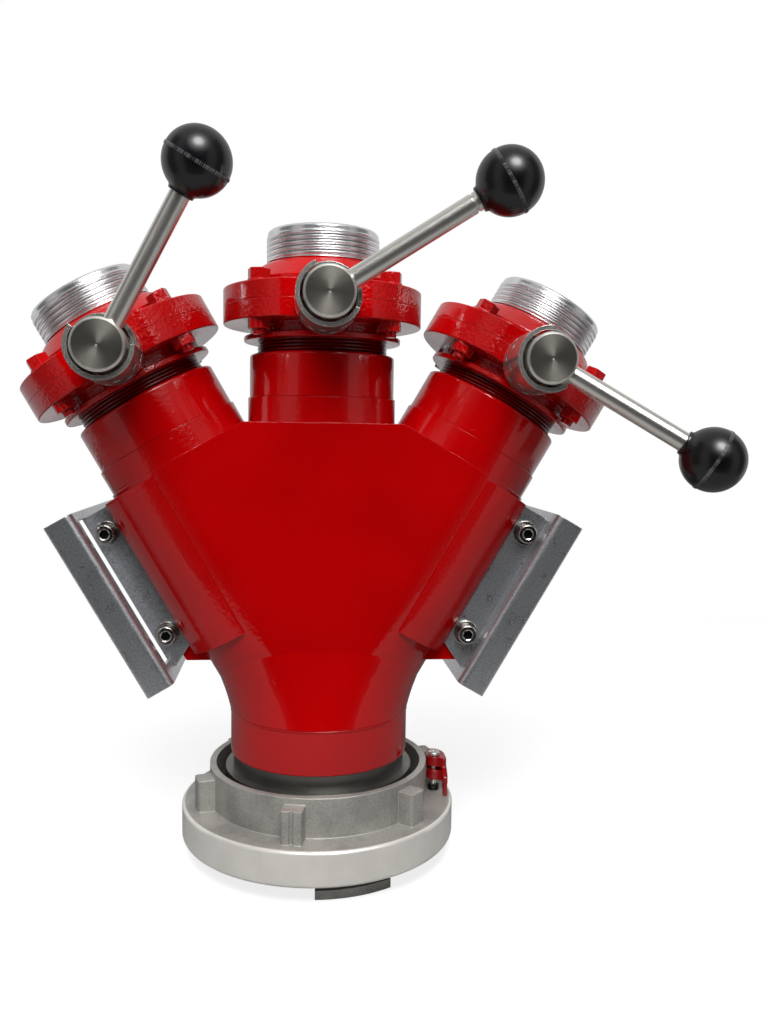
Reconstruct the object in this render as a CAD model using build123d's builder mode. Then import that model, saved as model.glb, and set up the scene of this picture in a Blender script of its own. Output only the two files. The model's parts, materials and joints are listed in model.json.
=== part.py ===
from build123d import *
import math
import os

# Three-way hose manifold. It stands on the two lugs of its inlet coupling: the origin is on the
# inlet axis in the plane of the lug tips, +Z is up and the valve handles are on the -Y side.
# Lengths are in millimetres, angles in degrees.

# Inlet coupling
lug_drop = 12.5
lug_inner_radius = 74.0
lug_wall = 7.0
lug_arc = 35.0
lug_azimuth = -75.5
hook_reach = 5.0
hook_height = 6.0
ring_radius = 97.0
ring_height = 24.0
lip_height = 8.0
lip_inner_radius = 87.0
channel_depth = 19.0
rim_wall = 4.5
entry_arc = 46.0
collar_radius = 77.6
collar_height = 26.5
collar_wall = 4.5
rib_count = 6
rib_azimuth = -103.0
rib_width = 14.0
rib_reach = 11.0
rib_height = 22.0
rib_groove_radius = 1.6
rib_fillet = 2.0
ring_edge = 2.5
race_height = 10.7
race_bottom = 10.3
swivel_clearance = 0.3
shank_radius = 61.0
shank_bore_radius = 51.0
shank_collar_radius = 68.5
shank_thread_radius = 57.0
shank_thread_length = 22.0
shank_face_drop = 2.0
retainer_radius = 69.0
retainer_height = 5.0
retainer_neck_radius = 66.5
retainer_top_drop = 2.5
gasket_inner_radius = 53.5
gasket_outer_radius = 64.0
gasket_height = 5.0
gasket_seat_depth = 3.5

# Locking lever on the coupling ring
lever_azimuth = 0.0
lever_pivot_radius = 84.5
lever_boss_radius = 5.5
lever_foot_gap = 0.4
lever_height = 25.5
lever_thickness = 17.0
lever_arm_length = 14.0
lever_arm_width = 8.0
lever_tail_reach = 6.5
lever_tail_start = 1.0
lever_tail_length = 14.0
lever_tail_thickness = 3.5
pivot_radius = 2.5
pivot_head_radius = 4.4
pivot_head_height = 2.6
pivot_key_width = 2.5
pivot_key_depth = 1.4
pivot_fit = 0.05
pivot_depth = 8.0
spring_wire_radius = 0.6
spring_turns = 4
spring_fit = 0.5

# Body casting and the rings welded on its four ports
inlet_ring_bottom = 71.5
inlet_ring_top = 102.2
inlet_ring_radius = 62.8
pivot_height = 107.8
branch_angle = 30.0
tube_radius = 52.4
tube_start = 40.0
hull_length = 195.8
body_wall = 6.5
slab_relief = 0.1
throat_radius = 63.0
throat_middle_height = 20.0
throat_middle_depth = 57.5
throat_top_height = 60.0
throat_sink = 0.9
stub_radius = 51.4
stub_length = 212.8
socket_radius = 50.2
socket_length = 29.6
socket_chamfer = 1.5
pad_radius = 52.0
pad_shift = 9.0
pad_start = 75.0
pad_end = 193.0
pad_edge = 16.0
pad_gap = 0.6
rail_foot = 60.0
rail_foot_reach = 66.0
rail_start = 84.0
rail_end = 186.0
rail_clearance = 0.3
rail_thickness = 12.0

# Ball valves, each along its branch axis from the joint of its two flanges
valve_distance = 274.1
stem_drop = 3.0
flange_radius = 68.5
flange_thickness = 12.0
flange_flat = 62.3
flange_chamfer = 0.8
waterway_radius = 31.5
ball_radius = 42.5
cavity_radius = 44.0
ball_clearance = 0.3
ball_slot_width = 9.0
ball_slot_depth = 7.5
seat_inner_reach = 30.0
seat_outer_radius = 39.5
seat_face_reach = 20.0
tail_radius = 45.0
tail_clearance = 0.1
tail_length = 52.0
lower_shoulder_radius = 50.0
lower_shoulder_depth = 19.4
lower_ring_radius = 54.3
lower_ring_depth = 23.0
upper_shoulder_radius = 52.4
upper_shoulder_height = 17.0
upper_cone_radius = 43.5
upper_cone_height = 27.0
outlet_neck_radius = 37.0
outlet_neck_height = 31.0
outlet_thread_radius = 38.95
outlet_thread_end = 52.0
outlet_chamfer = 1.6
bolt_circle_radius = 60.5
bolt_radius = 4.0
bolt_hole_clearance = 0.25
bolt_head_width = 13.0
bolt_head_height = 8.0
bolt_nut_height = 6.5
bolt_end = 3.5
stem_radius = 6.0
stem_fit = 0.05
stem_blade_width = 8.4
stem_inner_reach = 36.5
stem_outer_reach = 84.0
bush_radius = 8.0
bush_inner_reach = 45.0

# Handles and the sleeves that stop them
handle_travel = 92.0
sleeve_radius = 20.2
sleeve_inner_radius = 17.5
sleeve_reach = 104.0
sleeve_notch_depth = 13.0
sleeve_notch_margin = 25.0
sleeve_hole_radius = 2.6
sleeve_hole_count = 9
sleeve_hole_rows = (72.0, 83.0)
hub_radius = 15.7
hub_face_reach = 109.0
hub_back_reach = 66.0
hub_chamfer = 1.0
hub_bore_clearance = 0.05
rod_radius = 6.0
rod_reach = 96.0
rod_cant = 13.5
rod_inner_end = 7.0
knob_radius = 20.0
knob_bore_depth = 13.0
knob_neck_radius = 9.0
knob_neck_reach = 20.5

# Folded side brackets
bracket_sheet = 3.0
bracket_end = 198.0
bracket_flange = 18.0
bracket_front = 45.0
bracket_back = 100.0
bracket_bend = 1.5
window_depth = 22.0
tab_start = 80.0
tab_end = 192.0
tab_tip = 72.0
tab_corner = 82.0
screw_places = (95.5, 176.0)
screw_head_radius = 6.5
screw_head_height = 8.0
screw_key_width = 6.0
screw_key_depth = 4.0
screw_length = 16.0
washer_radius = 8.5
washer_thickness = 1.6

# Each valve: its branch angle from the vertical, how far it is turned about its branch from
# facing straight forwards, how far its handle is turned from open and how far out its knob is
# screwed on the rod
valves = {
    "left": (-branch_angle, 2.6, 59.7, 118.2),
    "centre": (0.0, 0.4, 58.5, 121.5),
    "right": (branch_angle, -0.8, handle_travel, 115.0),
}
# Each bracket: its side, the inner face of its web, its lower end, how far in front of the branch
# axis its folded tab stands, where the tab ends towards the body, where its screws are and whether
# its window is in front of the tab
brackets = {
    "left": (-1, 73.5, 68.0, 12.0, 56.5, 67.0, True),
    "right": (1, 70.5, 64.5, 30.0, 51.5, 60.4, False),
}

# Heights that follow from the sizes above
face_height = lug_drop
ring_top = lug_drop + ring_height
collar_top = ring_top + collar_height
race_low = face_height + race_bottom
race_high = race_low + race_height
cos_branch = math.cos(math.radians(branch_angle))
tan_branch = math.tan(math.radians(branch_angle))

os.makedirs("parts", exist_ok=True)


# Write a finished piece under its own name
def save(piece, name):
    piece.label = name
    export_step(piece, f"parts/{name}.step")


# Plane across a branch at a distance from the pivot of the three branches, with its X away from
# the middle of the body when the angle is to that side and its Y away from the handles
def branch_plane(angle, distance):
    turn = math.radians(angle)
    along = Vector(math.sin(turn), 0, math.cos(turn))
    across = Vector(math.cos(turn), 0, -math.sin(turn))
    return Plane(origin=Vector(0, 0, pivot_height) + along * distance, x_dir=across, z_dir=along)


# Front view plane of a branch: X across the branch, Y along it, normal towards the handles
def branch_side_plane(angle, reach):
    turn = math.radians(angle)
    across = Vector(math.cos(turn), 0, -math.sin(turn))
    return Plane(origin=Vector(0, -reach, pivot_height), x_dir=across, z_dir=Vector(0, -1, 0))


# Outline of the body across the inlet axis: two half ellipses joined by straight sides
def hull_outline(height, centre, half_width, half_depth):
    with BuildSketch(Plane.XY.offset(height)) as outline:
        with BuildLine():
            EllipticalCenterArc((centre, 0), half_width, half_depth, -90, arc_size=180)
            Line((centre, half_depth), (-centre, half_depth))
            EllipticalCenterArc((-centre, 0), half_width, half_depth, 90, arc_size=180)
            Line((-centre, -half_depth), (centre, -half_depth))
        make_face()
    return outline.sketch


# Trouser shape of the body, drawn in by an inset: a throat that widens from the inlet ring into
# two round side tubes with a flat-faced slab between them
def hull(inset):
    radius = tube_radius - inset
    throat_low = hull_outline(inlet_ring_top, 0.6, throat_radius - 0.6 - inset, throat_radius - inset)
    middle_height = inlet_ring_top + throat_middle_height
    throat_middle = hull_outline(
        middle_height,
        (middle_height - pivot_height) * tan_branch,
        radius / cos_branch + throat_sink / 2,
        throat_middle_depth - inset,
    )
    top_height = inlet_ring_top + throat_top_height
    throat_top = hull_outline(
        top_height,
        (top_height - pivot_height) * tan_branch,
        radius / cos_branch - throat_sink,
        radius - throat_sink,
    )
    slab_top = branch_plane(-branch_angle, hull_length).from_local_coords((radius, 0)).Z
    shoulder = branch_plane(branch_angle, hull_length - inset)
    outer_corner = shoulder.origin
    inner_corner = shoulder.from_local_coords((-radius, 0))
    with BuildPart() as shape:
        loft([throat_low, throat_middle, throat_top])
        for angle in (-branch_angle, branch_angle):
            with BuildSketch(branch_plane(angle, tube_start)):
                Circle(radius)
            extrude(amount=hull_length - tube_start)
        with BuildSketch(Plane.XZ):
            with BuildLine():
                Polyline(
                    (0, pivot_height),
                    (outer_corner.X, outer_corner.Z),
                    (inner_corner.X, inner_corner.Z),
                    (-inner_corner.X, inner_corner.Z),
                    (-outer_corner.X, outer_corner.Z),
                    close=True,
                )
            make_face()
        extrude(amount=radius - slab_relief, both=True)
    return shape.part


outer_hull = hull(0)
inner_hull = hull(body_wall)
bore_radius = tube_radius - body_wall

with BuildPart() as manifold_body:
    add(outer_hull)
    for angle in (-branch_angle, 0, branch_angle):
        with BuildSketch(branch_plane(angle, hull_length - body_wall)):
            Circle(stub_radius)
        extrude(amount=stub_length - hull_length + body_wall)
    for side, web, start, tab_reach, tab_inner, screw_reach, window_first in brackets.values():
        pad_reach = tab_inner - pad_gap
        with BuildSketch(branch_plane(side * branch_angle, pad_start)):
            with Locations((side * pad_shift, 0)):
                Circle(pad_radius)
            with Locations((side * (pad_edge + pad_reach) / 2, 0)):
                Rectangle(pad_reach - pad_edge, 4 * pad_radius, mode=Mode.INTERSECT)
        extrude(amount=pad_end - pad_start)
        # Rail that the bracket's tab is screwed to, with a foot that is cut level
        rail_front = tab_reach - bracket_sheet
        rail_root = math.sqrt(tube_radius**2 - rail_front**2) - body_wall
        rail_reach = web - rail_clearance
        foot_rise = (rail_foot_reach - rail_root) * tan_branch
        with BuildSketch(branch_side_plane(side * branch_angle, rail_front)):
            with BuildLine():
                Polyline(
                    (side * rail_root, rail_foot),
                    (side * rail_foot_reach, rail_foot + foot_rise),
                    (side * rail_foot_reach, rail_start - rail_reach + rail_foot_reach),
                    (side * rail_reach, rail_start),
                    (side * rail_reach, rail_end),
                    (side * rail_root, rail_end),
                    close=True,
                )
            make_face()
        extrude(amount=-rail_thickness)
    add(inner_hull, mode=Mode.SUBTRACT)
    for angle in (-branch_angle, 0, branch_angle):
        with BuildSketch(branch_plane(angle, hull_length / 2)):
            Circle(bore_radius)
        extrude(amount=stub_length - hull_length / 2, mode=Mode.SUBTRACT)
    for side, web, start, tab_reach, tab_inner, screw_reach, window_first in brackets.values():
        with BuildSketch(branch_side_plane(side * branch_angle, tab_reach - bracket_sheet)):
            with Locations(*[(side * screw_reach, place) for place in screw_places]):
                Circle(bolt_radius)
        extrude(amount=-rail_thickness, mode=Mode.SUBTRACT)
save(manifold_body.part, "manifold_body")

with BuildPart() as inlet_ring:
    with BuildSketch(Plane.XY.offset(inlet_ring_bottom)):
        Circle(inlet_ring_radius)
        Circle(shank_thread_radius, mode=Mode.SUBTRACT)
    extrude(amount=inlet_ring_top - inlet_ring_bottom)
save(inlet_ring.part, "inlet_ring")

with BuildPart() as outlet_socket:
    with BuildSketch():
        Circle(socket_radius)
        Circle(tail_radius + tail_clearance, mode=Mode.SUBTRACT)
    extrude(amount=socket_length)
    chamfer(outlet_socket.edges().filter_by(GeomType.CIRCLE).group_by(Axis.Z)[-1], socket_chamfer)


# What is cut from both halves of a valve: room for the ball and the seat rings, the hole of the
# stem bush, the flat that the stop sleeve stands on and the holes of the four bolts
with BuildPart() as valve_cuts:
    with Locations((0, 0, -stem_drop)):
        Sphere(cavity_radius)
    with BuildSketch(Plane.XY.offset(-stem_drop - seat_inner_reach)):
        Circle(seat_outer_radius)
    extrude(amount=2 * seat_inner_reach)
    with BuildSketch(Plane.XZ):
        with Locations((0, -stem_drop)):
            Circle(bush_radius)
    extrude(amount=flange_flat)
    with BuildSketch(Plane.XY.offset(-flange_thickness)):
        with Locations((0, -flange_flat - flange_radius / 2)):
            Rectangle(2 * flange_radius, flange_radius)
        with PolarLocations(bolt_circle_radius, 4, start_angle=45):
            Circle(bolt_radius + bolt_hole_clearance)
    extrude(amount=2 * flange_thickness)


with BuildPart() as lower_half:
    with BuildSketch(Plane.XZ):
        with BuildLine():
            Polyline(
                (waterway_radius, 0),
                (flange_radius, 0),
                (flange_radius, -flange_thickness),
                (lower_shoulder_radius, -flange_thickness),
                (lower_shoulder_radius, -lower_shoulder_depth),
                (lower_ring_radius, -lower_shoulder_depth),
                (lower_ring_radius, -lower_ring_depth),
                (tail_radius, -lower_ring_depth),
                (tail_radius, -tail_length),
                (waterway_radius, -tail_length),
                close=True,
            )
        make_face()
    revolve(axis=Axis.Z)
    rim = lower_half.edges().filter_by(GeomType.CIRCLE).filter_by(
        lambda edge: abs(edge.radius - flange_radius) < 0.01
    )
    chamfer(rim.group_by(Axis.Z)[0], flange_chamfer)
    add(valve_cuts.part, mode=Mode.SUBTRACT)

with BuildPart() as upper_half:
    with BuildSketch(Plane.XZ):
        with BuildLine():
            Polyline(
                (waterway_radius, 0),
                (flange_radius, 0),
                (flange_radius, flange_thickness),
                (upper_shoulder_radius, flange_thickness),
                (upper_shoulder_radius, upper_shoulder_height),
                (upper_cone_radius, upper_cone_height),
                (outlet_neck_radius, outlet_neck_height),
                (outlet_thread_radius, outlet_neck_height),
                (outlet_thread_radius, outlet_thread_end),
                (waterway_radius, outlet_thread_end),
                close=True,
            )
        make_face()
    revolve(axis=Axis.Z)
    rims = upper_half.edges().filter_by(GeomType.CIRCLE)
    chamfer(rims.group_by(Axis.Z)[-1].sort_by(SortBy.RADIUS)[-1], outlet_chamfer)
    rim = rims.filter_by(lambda edge: abs(edge.radius - flange_radius) < 0.01)
    chamfer(rim.group_by(Axis.Z)[-1], flange_chamfer)
    add(valve_cuts.part, mode=Mode.SUBTRACT)

with BuildPart() as seats:
    for side in (-1, 1):
        with BuildSketch(Plane.XY.offset(-stem_drop + side * seat_face_reach)):
            Circle(seat_outer_radius)
            Circle(waterway_radius, mode=Mode.SUBTRACT)
        extrude(amount=side * (seat_inner_reach - seat_face_reach))
    with Locations((0, 0, -stem_drop)):
        Sphere(ball_radius + ball_clearance, mode=Mode.SUBTRACT)

with BuildPart() as stem_bush:
    with BuildSketch(Plane.XZ.offset(bush_inner_reach)):
        with Locations((0, -stem_drop)):
            Circle(bush_radius)
            Circle(stem_radius + stem_fit, mode=Mode.SUBTRACT)
    extrude(amount=flange_flat - bush_inner_reach)

with BuildPart() as flange_bolts:
    with BuildSketch(Plane.XY.offset(flange_thickness)):
        with PolarLocations(bolt_circle_radius, 4, start_angle=45):
            RegularPolygon(bolt_head_width / 2, 6, major_radius=False)
    extrude(amount=bolt_head_height)
    with BuildSketch(Plane.XY.offset(flange_thickness)):
        with PolarLocations(bolt_circle_radius, 4, start_angle=45):
            Circle(bolt_radius)
    extrude(amount=-2 * flange_thickness - bolt_nut_height - bolt_end)

with BuildPart() as flange_nuts:
    with BuildSketch(Plane.XY.offset(-flange_thickness)):
        with PolarLocations(bolt_circle_radius, 4, start_angle=45):
            RegularPolygon(bolt_head_width / 2, 6, major_radius=False)
            Circle(bolt_radius, mode=Mode.SUBTRACT)
    extrude(amount=-bolt_nut_height)

# Sleeve with two staggered rows of small holes and a cut-out over the handle's travel
with BuildPart() as stop_sleeve:
    with BuildSketch(Plane.XZ.offset(flange_flat)):
        with Locations((0, -stem_drop)):
            Circle(sleeve_radius)
            Circle(sleeve_inner_radius, mode=Mode.SUBTRACT)
    extrude(amount=sleeve_reach - flange_flat)
    notch_start = 90 + sleeve_notch_margin
    notch_arc = handle_travel + 2 * sleeve_notch_margin
    with BuildSketch(Plane.XZ.offset(sleeve_reach)):
        with BuildLine():
            start = PolarLine((0, -stem_drop), 2 * sleeve_radius, notch_start)
            finish = PolarLine((0, -stem_drop), 2 * sleeve_radius, notch_start - notch_arc)
            middle = Vector(0, -stem_drop) + Vector(2 * sleeve_radius, 0).rotate(
                Axis.Z, notch_start - notch_arc / 2
            )
            ThreePointArc(start @ 1, middle, finish @ 1)
        make_face()
    extrude(amount=-sleeve_notch_depth, mode=Mode.SUBTRACT)
    hole_step = 360 / sleeve_hole_count
    for row, reach in enumerate(sleeve_hole_rows):
        for index in range(sleeve_hole_count):
            turn = hole_step * (index + row / 2)
            outward = Vector(math.cos(math.radians(turn)), 0, math.sin(math.radians(turn)))
            with BuildSketch(Plane(origin=(0, -reach, -stem_drop), z_dir=outward)):
                Circle(sleeve_hole_radius)
            extrude(amount=sleeve_radius + 1, mode=Mode.SUBTRACT)

# The handle's pieces are drawn about the stem axis with the valve open, so that the rod runs
# along the branch
rod_plane = Plane(
    origin=(0, -rod_reach, 0),
    x_dir=(1, 0, 0),
    z_dir=(0, -math.sin(math.radians(rod_cant)), math.cos(math.radians(rod_cant))),
)

with BuildPart() as ball:
    Sphere(ball_radius)
    Cylinder(waterway_radius, 2 * ball_radius, mode=Mode.SUBTRACT)
    with BuildSketch(Plane.XZ.offset(ball_radius)):
        Rectangle(ball_slot_width, 2 * ball_radius)
    extrude(amount=-ball_slot_depth, mode=Mode.SUBTRACT)

with BuildPart() as stem:
    with BuildSketch(Plane.XZ.offset(bush_inner_reach)):
        Circle(stem_radius)
    extrude(amount=stem_outer_reach - bush_inner_reach)
    with BuildSketch(Plane.XZ.offset(bush_inner_reach)):
        Rectangle(stem_blade_width, 2 * stem_radius)
        Circle(stem_radius, mode=Mode.INTERSECT)
    extrude(amount=stem_inner_reach - bush_inner_reach)

with BuildPart() as handle_hub:
    with BuildSketch(Plane.XZ.offset(hub_back_reach)):
        Circle(hub_radius)
    extrude(amount=hub_face_reach - hub_back_reach)
    chamfer(handle_hub.faces().sort_by(Axis.Y)[0].edges(), hub_chamfer)
    with BuildSketch(Plane.XZ.offset(hub_back_reach)):
        Circle(stem_radius + hub_bore_clearance)
    extrude(amount=stem_outer_reach - hub_back_reach, mode=Mode.SUBTRACT)
    with BuildSketch(rod_plane.offset(rod_inner_end)):
        Circle(rod_radius + hub_bore_clearance)
    extrude(amount=hub_radius, mode=Mode.SUBTRACT)


# Rod and ball knob of a handle whose knob stands this far out
def rod_and_knob(knob_reach):
    rod_end = knob_reach - knob_radius + knob_bore_depth
    with BuildPart() as handle_rod:
        with BuildSketch(rod_plane.offset(rod_inner_end)):
            Circle(rod_radius)
        extrude(amount=rod_end - rod_inner_end)
    with BuildPart() as ball_knob:
        with Locations(rod_plane.offset(knob_reach).location):
            Sphere(knob_radius)
        with BuildSketch(rod_plane.offset(knob_reach - knob_neck_reach)):
            Circle(knob_neck_radius)
        extrude(amount=knob_neck_reach)
        with BuildSketch(rod_plane.offset(knob_reach - knob_neck_reach)):
            Circle(rod_radius + hub_bore_clearance)
        extrude(amount=rod_end - knob_reach + knob_neck_reach, mode=Mode.SUBTRACT)
    return {"handle_rod": handle_rod, "ball_knob": ball_knob}


fixed_pieces = {
    "valve_lower_half": lower_half,
    "valve_upper_half": upper_half,
    "ball_seats": seats,
    "stem_bush": stem_bush,
    "flange_bolts": flange_bolts,
    "flange_nuts": flange_nuts,
    "stop_sleeve": stop_sleeve,
}
turning_pieces = {
    "valve_ball": ball,
    "valve_stem": stem,
    "handle_hub": handle_hub,
}
for name, (angle, clocking, turned, knob_reach) in valves.items():
    seat_place = branch_plane(angle, stub_length).location
    save(outlet_socket.part.moved(seat_place), f"{name}_outlet_socket")
    valve_place = branch_plane(angle, valve_distance).location * Rotation(0, 0, clocking)
    for kind, piece in fixed_pieces.items():
        save(piece.part.moved(valve_place), f"{name}_{kind}")
    handle_place = valve_place * Pos(0, 0, -stem_drop) * Rotation(0, turned, 0)
    for kind, piece in (turning_pieces | rod_and_knob(knob_reach)).items():
        save(piece.part.moved(handle_place), f"{name}_{kind}")

# Folded bracket: a channel that opens outwards, with a window cut in its web and the tab that came
# out of the window folded inwards against the rail
for name, bracket in brackets.items():
    side, web, start, tab_reach, tab_inner, screw_reach, window_first = bracket
    angle = side * branch_angle
    web_middle = side * (web + bracket_sheet / 2)
    flange_end = side * (web + bracket_flange)
    half_sheet = bracket_sheet / 2
    window_back = tab_reach if window_first else tab_reach - bracket_sheet - window_depth
    with BuildPart() as side_bracket:
        with BuildSketch(branch_plane(angle, start)):
            with BuildLine():
                FilletPolyline(
                    (flange_end, half_sheet - bracket_front),
                    (web_middle, half_sheet - bracket_front),
                    (web_middle, bracket_back - half_sheet),
                    (flange_end, bracket_back - half_sheet),
                    radius=bracket_bend + half_sheet,
                )
                offset(amount=half_sheet, kind=Kind.INTERSECTION, side=Side.BOTH)
            make_face()
        extrude(amount=bracket_end - start)
        with BuildSketch(branch_plane(angle, tab_start)):
            with Locations((web_middle, -window_back - window_depth / 2)):
                Rectangle(2 * bracket_sheet, window_depth)
        extrude(amount=tab_end - tab_start, mode=Mode.SUBTRACT)
        with BuildSketch(branch_side_plane(angle, tab_reach)):
            with BuildLine():
                Polyline(
                    (web_middle, tab_tip),
                    (web_middle, tab_end),
                    (side * tab_inner, tab_end),
                    (side * tab_inner, tab_corner),
                    close=True,
                )
            make_face()
            with Locations(*[(side * screw_reach, place) for place in screw_places]):
                Circle(bolt_radius + bolt_hole_clearance, mode=Mode.SUBTRACT)
        extrude(amount=-bracket_sheet)
    save(side_bracket.part, f"{name}_side_bracket")

    screw_points = [(side * screw_reach, place) for place in screw_places]
    with BuildPart() as bracket_washers:
        with BuildSketch(branch_side_plane(angle, tab_reach)):
            with Locations(*screw_points):
                Circle(washer_radius)
                Circle(bolt_radius + bolt_hole_clearance, mode=Mode.SUBTRACT)
        extrude(amount=washer_thickness)
    save(bracket_washers.part, f"{name}_bracket_washers")

    head_seat = branch_side_plane(angle, tab_reach + washer_thickness)
    with BuildPart() as bracket_screws:
        with BuildSketch(head_seat):
            with Locations(*screw_points):
                Circle(screw_head_radius)
        extrude(amount=screw_head_height)
        with BuildSketch(head_seat):
            with Locations(*screw_points):
                Circle(bolt_radius)
        extrude(amount=-screw_length)
        with BuildSketch(head_seat.offset(screw_head_height)):
            with Locations(*screw_points):
                RegularPolygon(screw_key_width / 2, 6, major_radius=False)
        extrude(amount=-screw_key_depth, mode=Mode.SUBTRACT)
    save(bracket_screws.part, f"{name}_bracket_screws")

# Shank of the coupling: its collar bears under the race of the swivelling ring, its upper end
# screws into the inlet ring
collar_low = face_height + shank_face_drop
collar_high = race_low - swivel_clearance
retainer_low = race_high + swivel_clearance
with BuildPart() as coupling_shank:
    with BuildSketch(Plane.XZ):
        with BuildLine():
            Polyline(
                (shank_bore_radius, collar_low),
                (gasket_inner_radius, collar_low),
                (gasket_inner_radius, collar_low + gasket_seat_depth),
                (gasket_outer_radius, collar_low + gasket_seat_depth),
                (gasket_outer_radius, collar_low),
                (shank_collar_radius, collar_low),
                (shank_collar_radius, collar_high),
                (shank_radius, collar_high),
                (shank_radius, inlet_ring_bottom),
                (shank_thread_radius, inlet_ring_bottom),
                (shank_thread_radius, inlet_ring_bottom + shank_thread_length),
                (shank_bore_radius, inlet_ring_bottom + shank_thread_length),
                close=True,
            )
        make_face()
    revolve(axis=Axis.Z)
save(coupling_shank.part, "coupling_shank")

with BuildPart() as face_gasket:
    with BuildSketch(Plane.XY.offset(collar_low + gasket_seat_depth)):
        Circle(gasket_outer_radius)
        Circle(gasket_inner_radius, mode=Mode.SUBTRACT)
    extrude(amount=-gasket_height)
save(face_gasket.part, "face_gasket")

with BuildPart() as swivel_retainer:
    with BuildSketch(Plane.XY.offset(retainer_low)):
        Circle(retainer_radius)
    extrude(amount=retainer_height)
    with BuildSketch(Plane.XY.offset(retainer_low)):
        Circle(retainer_neck_radius)
    extrude(amount=collar_top - retainer_top_drop - retainer_low)
    with BuildSketch(Plane.XY.offset(retainer_low)):
        Circle(shank_radius)
    extrude(amount=collar_top - retainer_low, mode=Mode.SUBTRACT)
save(swivel_retainer.part, "swivel_retainer")


# Sector between two radii, centred on an azimuth
def sector(inner, outer, azimuth, arc, height):
    low = azimuth - arc / 2
    with BuildSketch(Plane.XY.offset(height)) as outline:
        with BuildLine():
            outer_arc = CenterArc((0, 0), outer, low, arc)
            inner_arc = CenterArc((0, 0), inner, low, arc)
            Line(outer_arc @ 0, inner_arc @ 0)
            Line(outer_arc @ 1, inner_arc @ 1)
        make_face()
    return outline.sketch


lug_outer_radius = lug_inner_radius + lug_wall
channel_radius = ring_radius - rim_wall
lug_azimuths = (lug_azimuth, lug_azimuth + 180)
entry_azimuths = (lug_azimuth + 90, lug_azimuth + 270)
collar_inner_radius = collar_radius - collar_wall

# Swivelling ring: a deep rim with an undercut channel for the mating lugs, open at two entries,
# two hooked lugs, a raised collar and spanner ribs around it
with BuildPart() as swivel_ring:
    with BuildSketch(Plane.XZ):
        with BuildLine():
            Polyline(
                (shank_radius + swivel_clearance, race_low),
                (shank_collar_radius + swivel_clearance, race_low),
                (shank_collar_radius + swivel_clearance, face_height),
                (ring_radius, face_height),
                (ring_radius, ring_top),
                (collar_radius, ring_top),
                (collar_radius, collar_top),
                (collar_inner_radius, collar_top),
                (collar_inner_radius, race_high),
                (shank_radius + swivel_clearance, race_high),
                close=True,
            )
        make_face()
    revolve(axis=Axis.Z)
    corners = swivel_ring.edges().filter_by(GeomType.CIRCLE).filter_by(
        lambda edge: abs(edge.radius - ring_radius) < 0.01
    )
    fillet(corners, ring_edge)
    # Channel behind the lip, between the lug wall and the rim
    with BuildSketch(Plane.XZ):
        with BuildLine():
            Polyline(
                (lug_outer_radius, face_height),
                (lip_inner_radius, face_height),
                (lip_inner_radius, face_height + lip_height),
                (channel_radius, face_height + lip_height),
                (channel_radius, face_height + channel_depth),
                (lug_outer_radius, face_height + channel_depth),
                close=True,
            )
        make_face()
    revolve(axis=Axis.Z, mode=Mode.SUBTRACT)
    for azimuth in entry_azimuths:
        entry = sector(lug_outer_radius, channel_radius, azimuth, entry_arc, face_height)
        extrude(entry, amount=lip_height, mode=Mode.SUBTRACT)
    for azimuth in lug_azimuths:
        lug = sector(lug_inner_radius, lug_outer_radius, azimuth, lug_arc, 0)
        extrude(lug, amount=face_height)
        hook = sector(lug_inner_radius, lug_outer_radius + hook_reach, azimuth, lug_arc, 0)
        extrude(hook, amount=hook_height)
    for index in range(rib_count):
        azimuth = rib_azimuth + index * 360 / rib_count
        turn = math.radians(azimuth)
        outward = Vector(math.cos(turn), math.sin(turn), 0)
        rib_plane = Plane(origin=(0, 0, ring_top), x_dir=outward, z_dir=(0, 0, 1))
        rib_middle = (collar_inner_radius + collar_wall / 2 + collar_radius + rib_reach) / 2
        rib_length = collar_radius + rib_reach - collar_inner_radius - collar_wall / 2
        with BuildSketch(rib_plane):
            with Locations((rib_middle, 0)):
                RectangleRounded(rib_length, rib_width, rib_fillet)
            # The two ribs beside the hooked lugs carry a groove as a mark
            if index % 3 == 0:
                with Locations((collar_radius + rib_reach, 0)):
                    Circle(rib_groove_radius, mode=Mode.SUBTRACT)
        extrude(amount=rib_height)

lever_turn = math.radians(lever_azimuth)
lever_place = Vector(
    lever_pivot_radius * math.cos(lever_turn), lever_pivot_radius * math.sin(lever_turn), 0
)
lever_low = ring_top + lever_foot_gap

with BuildPart() as swivel_ring_drilled:
    add(swivel_ring.part)
    with BuildSketch(Plane(origin=(lever_place.X, lever_place.Y, ring_top))):
        Circle(pivot_radius)
    extrude(amount=-pivot_depth, mode=Mode.SUBTRACT)
save(swivel_ring_drilled.part, "swivel_ring")

# Locking lever: a boss on the pivot screw, an arm that runs back along the collar and a blade in
# front that hangs down to the rim. Its plan has X outwards and Y to the back.
lever_plane = Plane(
    origin=(lever_place.X, lever_place.Y, lever_low),
    x_dir=Vector(1, 0, 0).rotate(Axis.Z, lever_azimuth),
    z_dir=(0, 0, 1),
)
with BuildPart() as lock_lever:
    with BuildSketch(lever_plane.offset(lever_height - lever_thickness)):
        Circle(lever_boss_radius)
        with Locations((0, lever_arm_length / 2)):
            Rectangle(lever_arm_width, lever_arm_length)
        with Locations((lever_tail_reach / 2, -lever_tail_start - lever_tail_thickness / 2)):
            Rectangle(lever_tail_reach + lever_tail_thickness, lever_tail_thickness)
    extrude(amount=lever_thickness)
    with BuildSketch(lever_plane):
        with Locations((lever_tail_reach, -lever_tail_start - lever_tail_length / 2)):
            Rectangle(lever_tail_thickness, lever_tail_length)
    extrude(amount=lever_height)
    with BuildSketch(lever_plane):
        Circle(pivot_radius + pivot_fit)
    extrude(amount=lever_height, mode=Mode.SUBTRACT)
save(lock_lever.part, "lock_lever")

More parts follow.
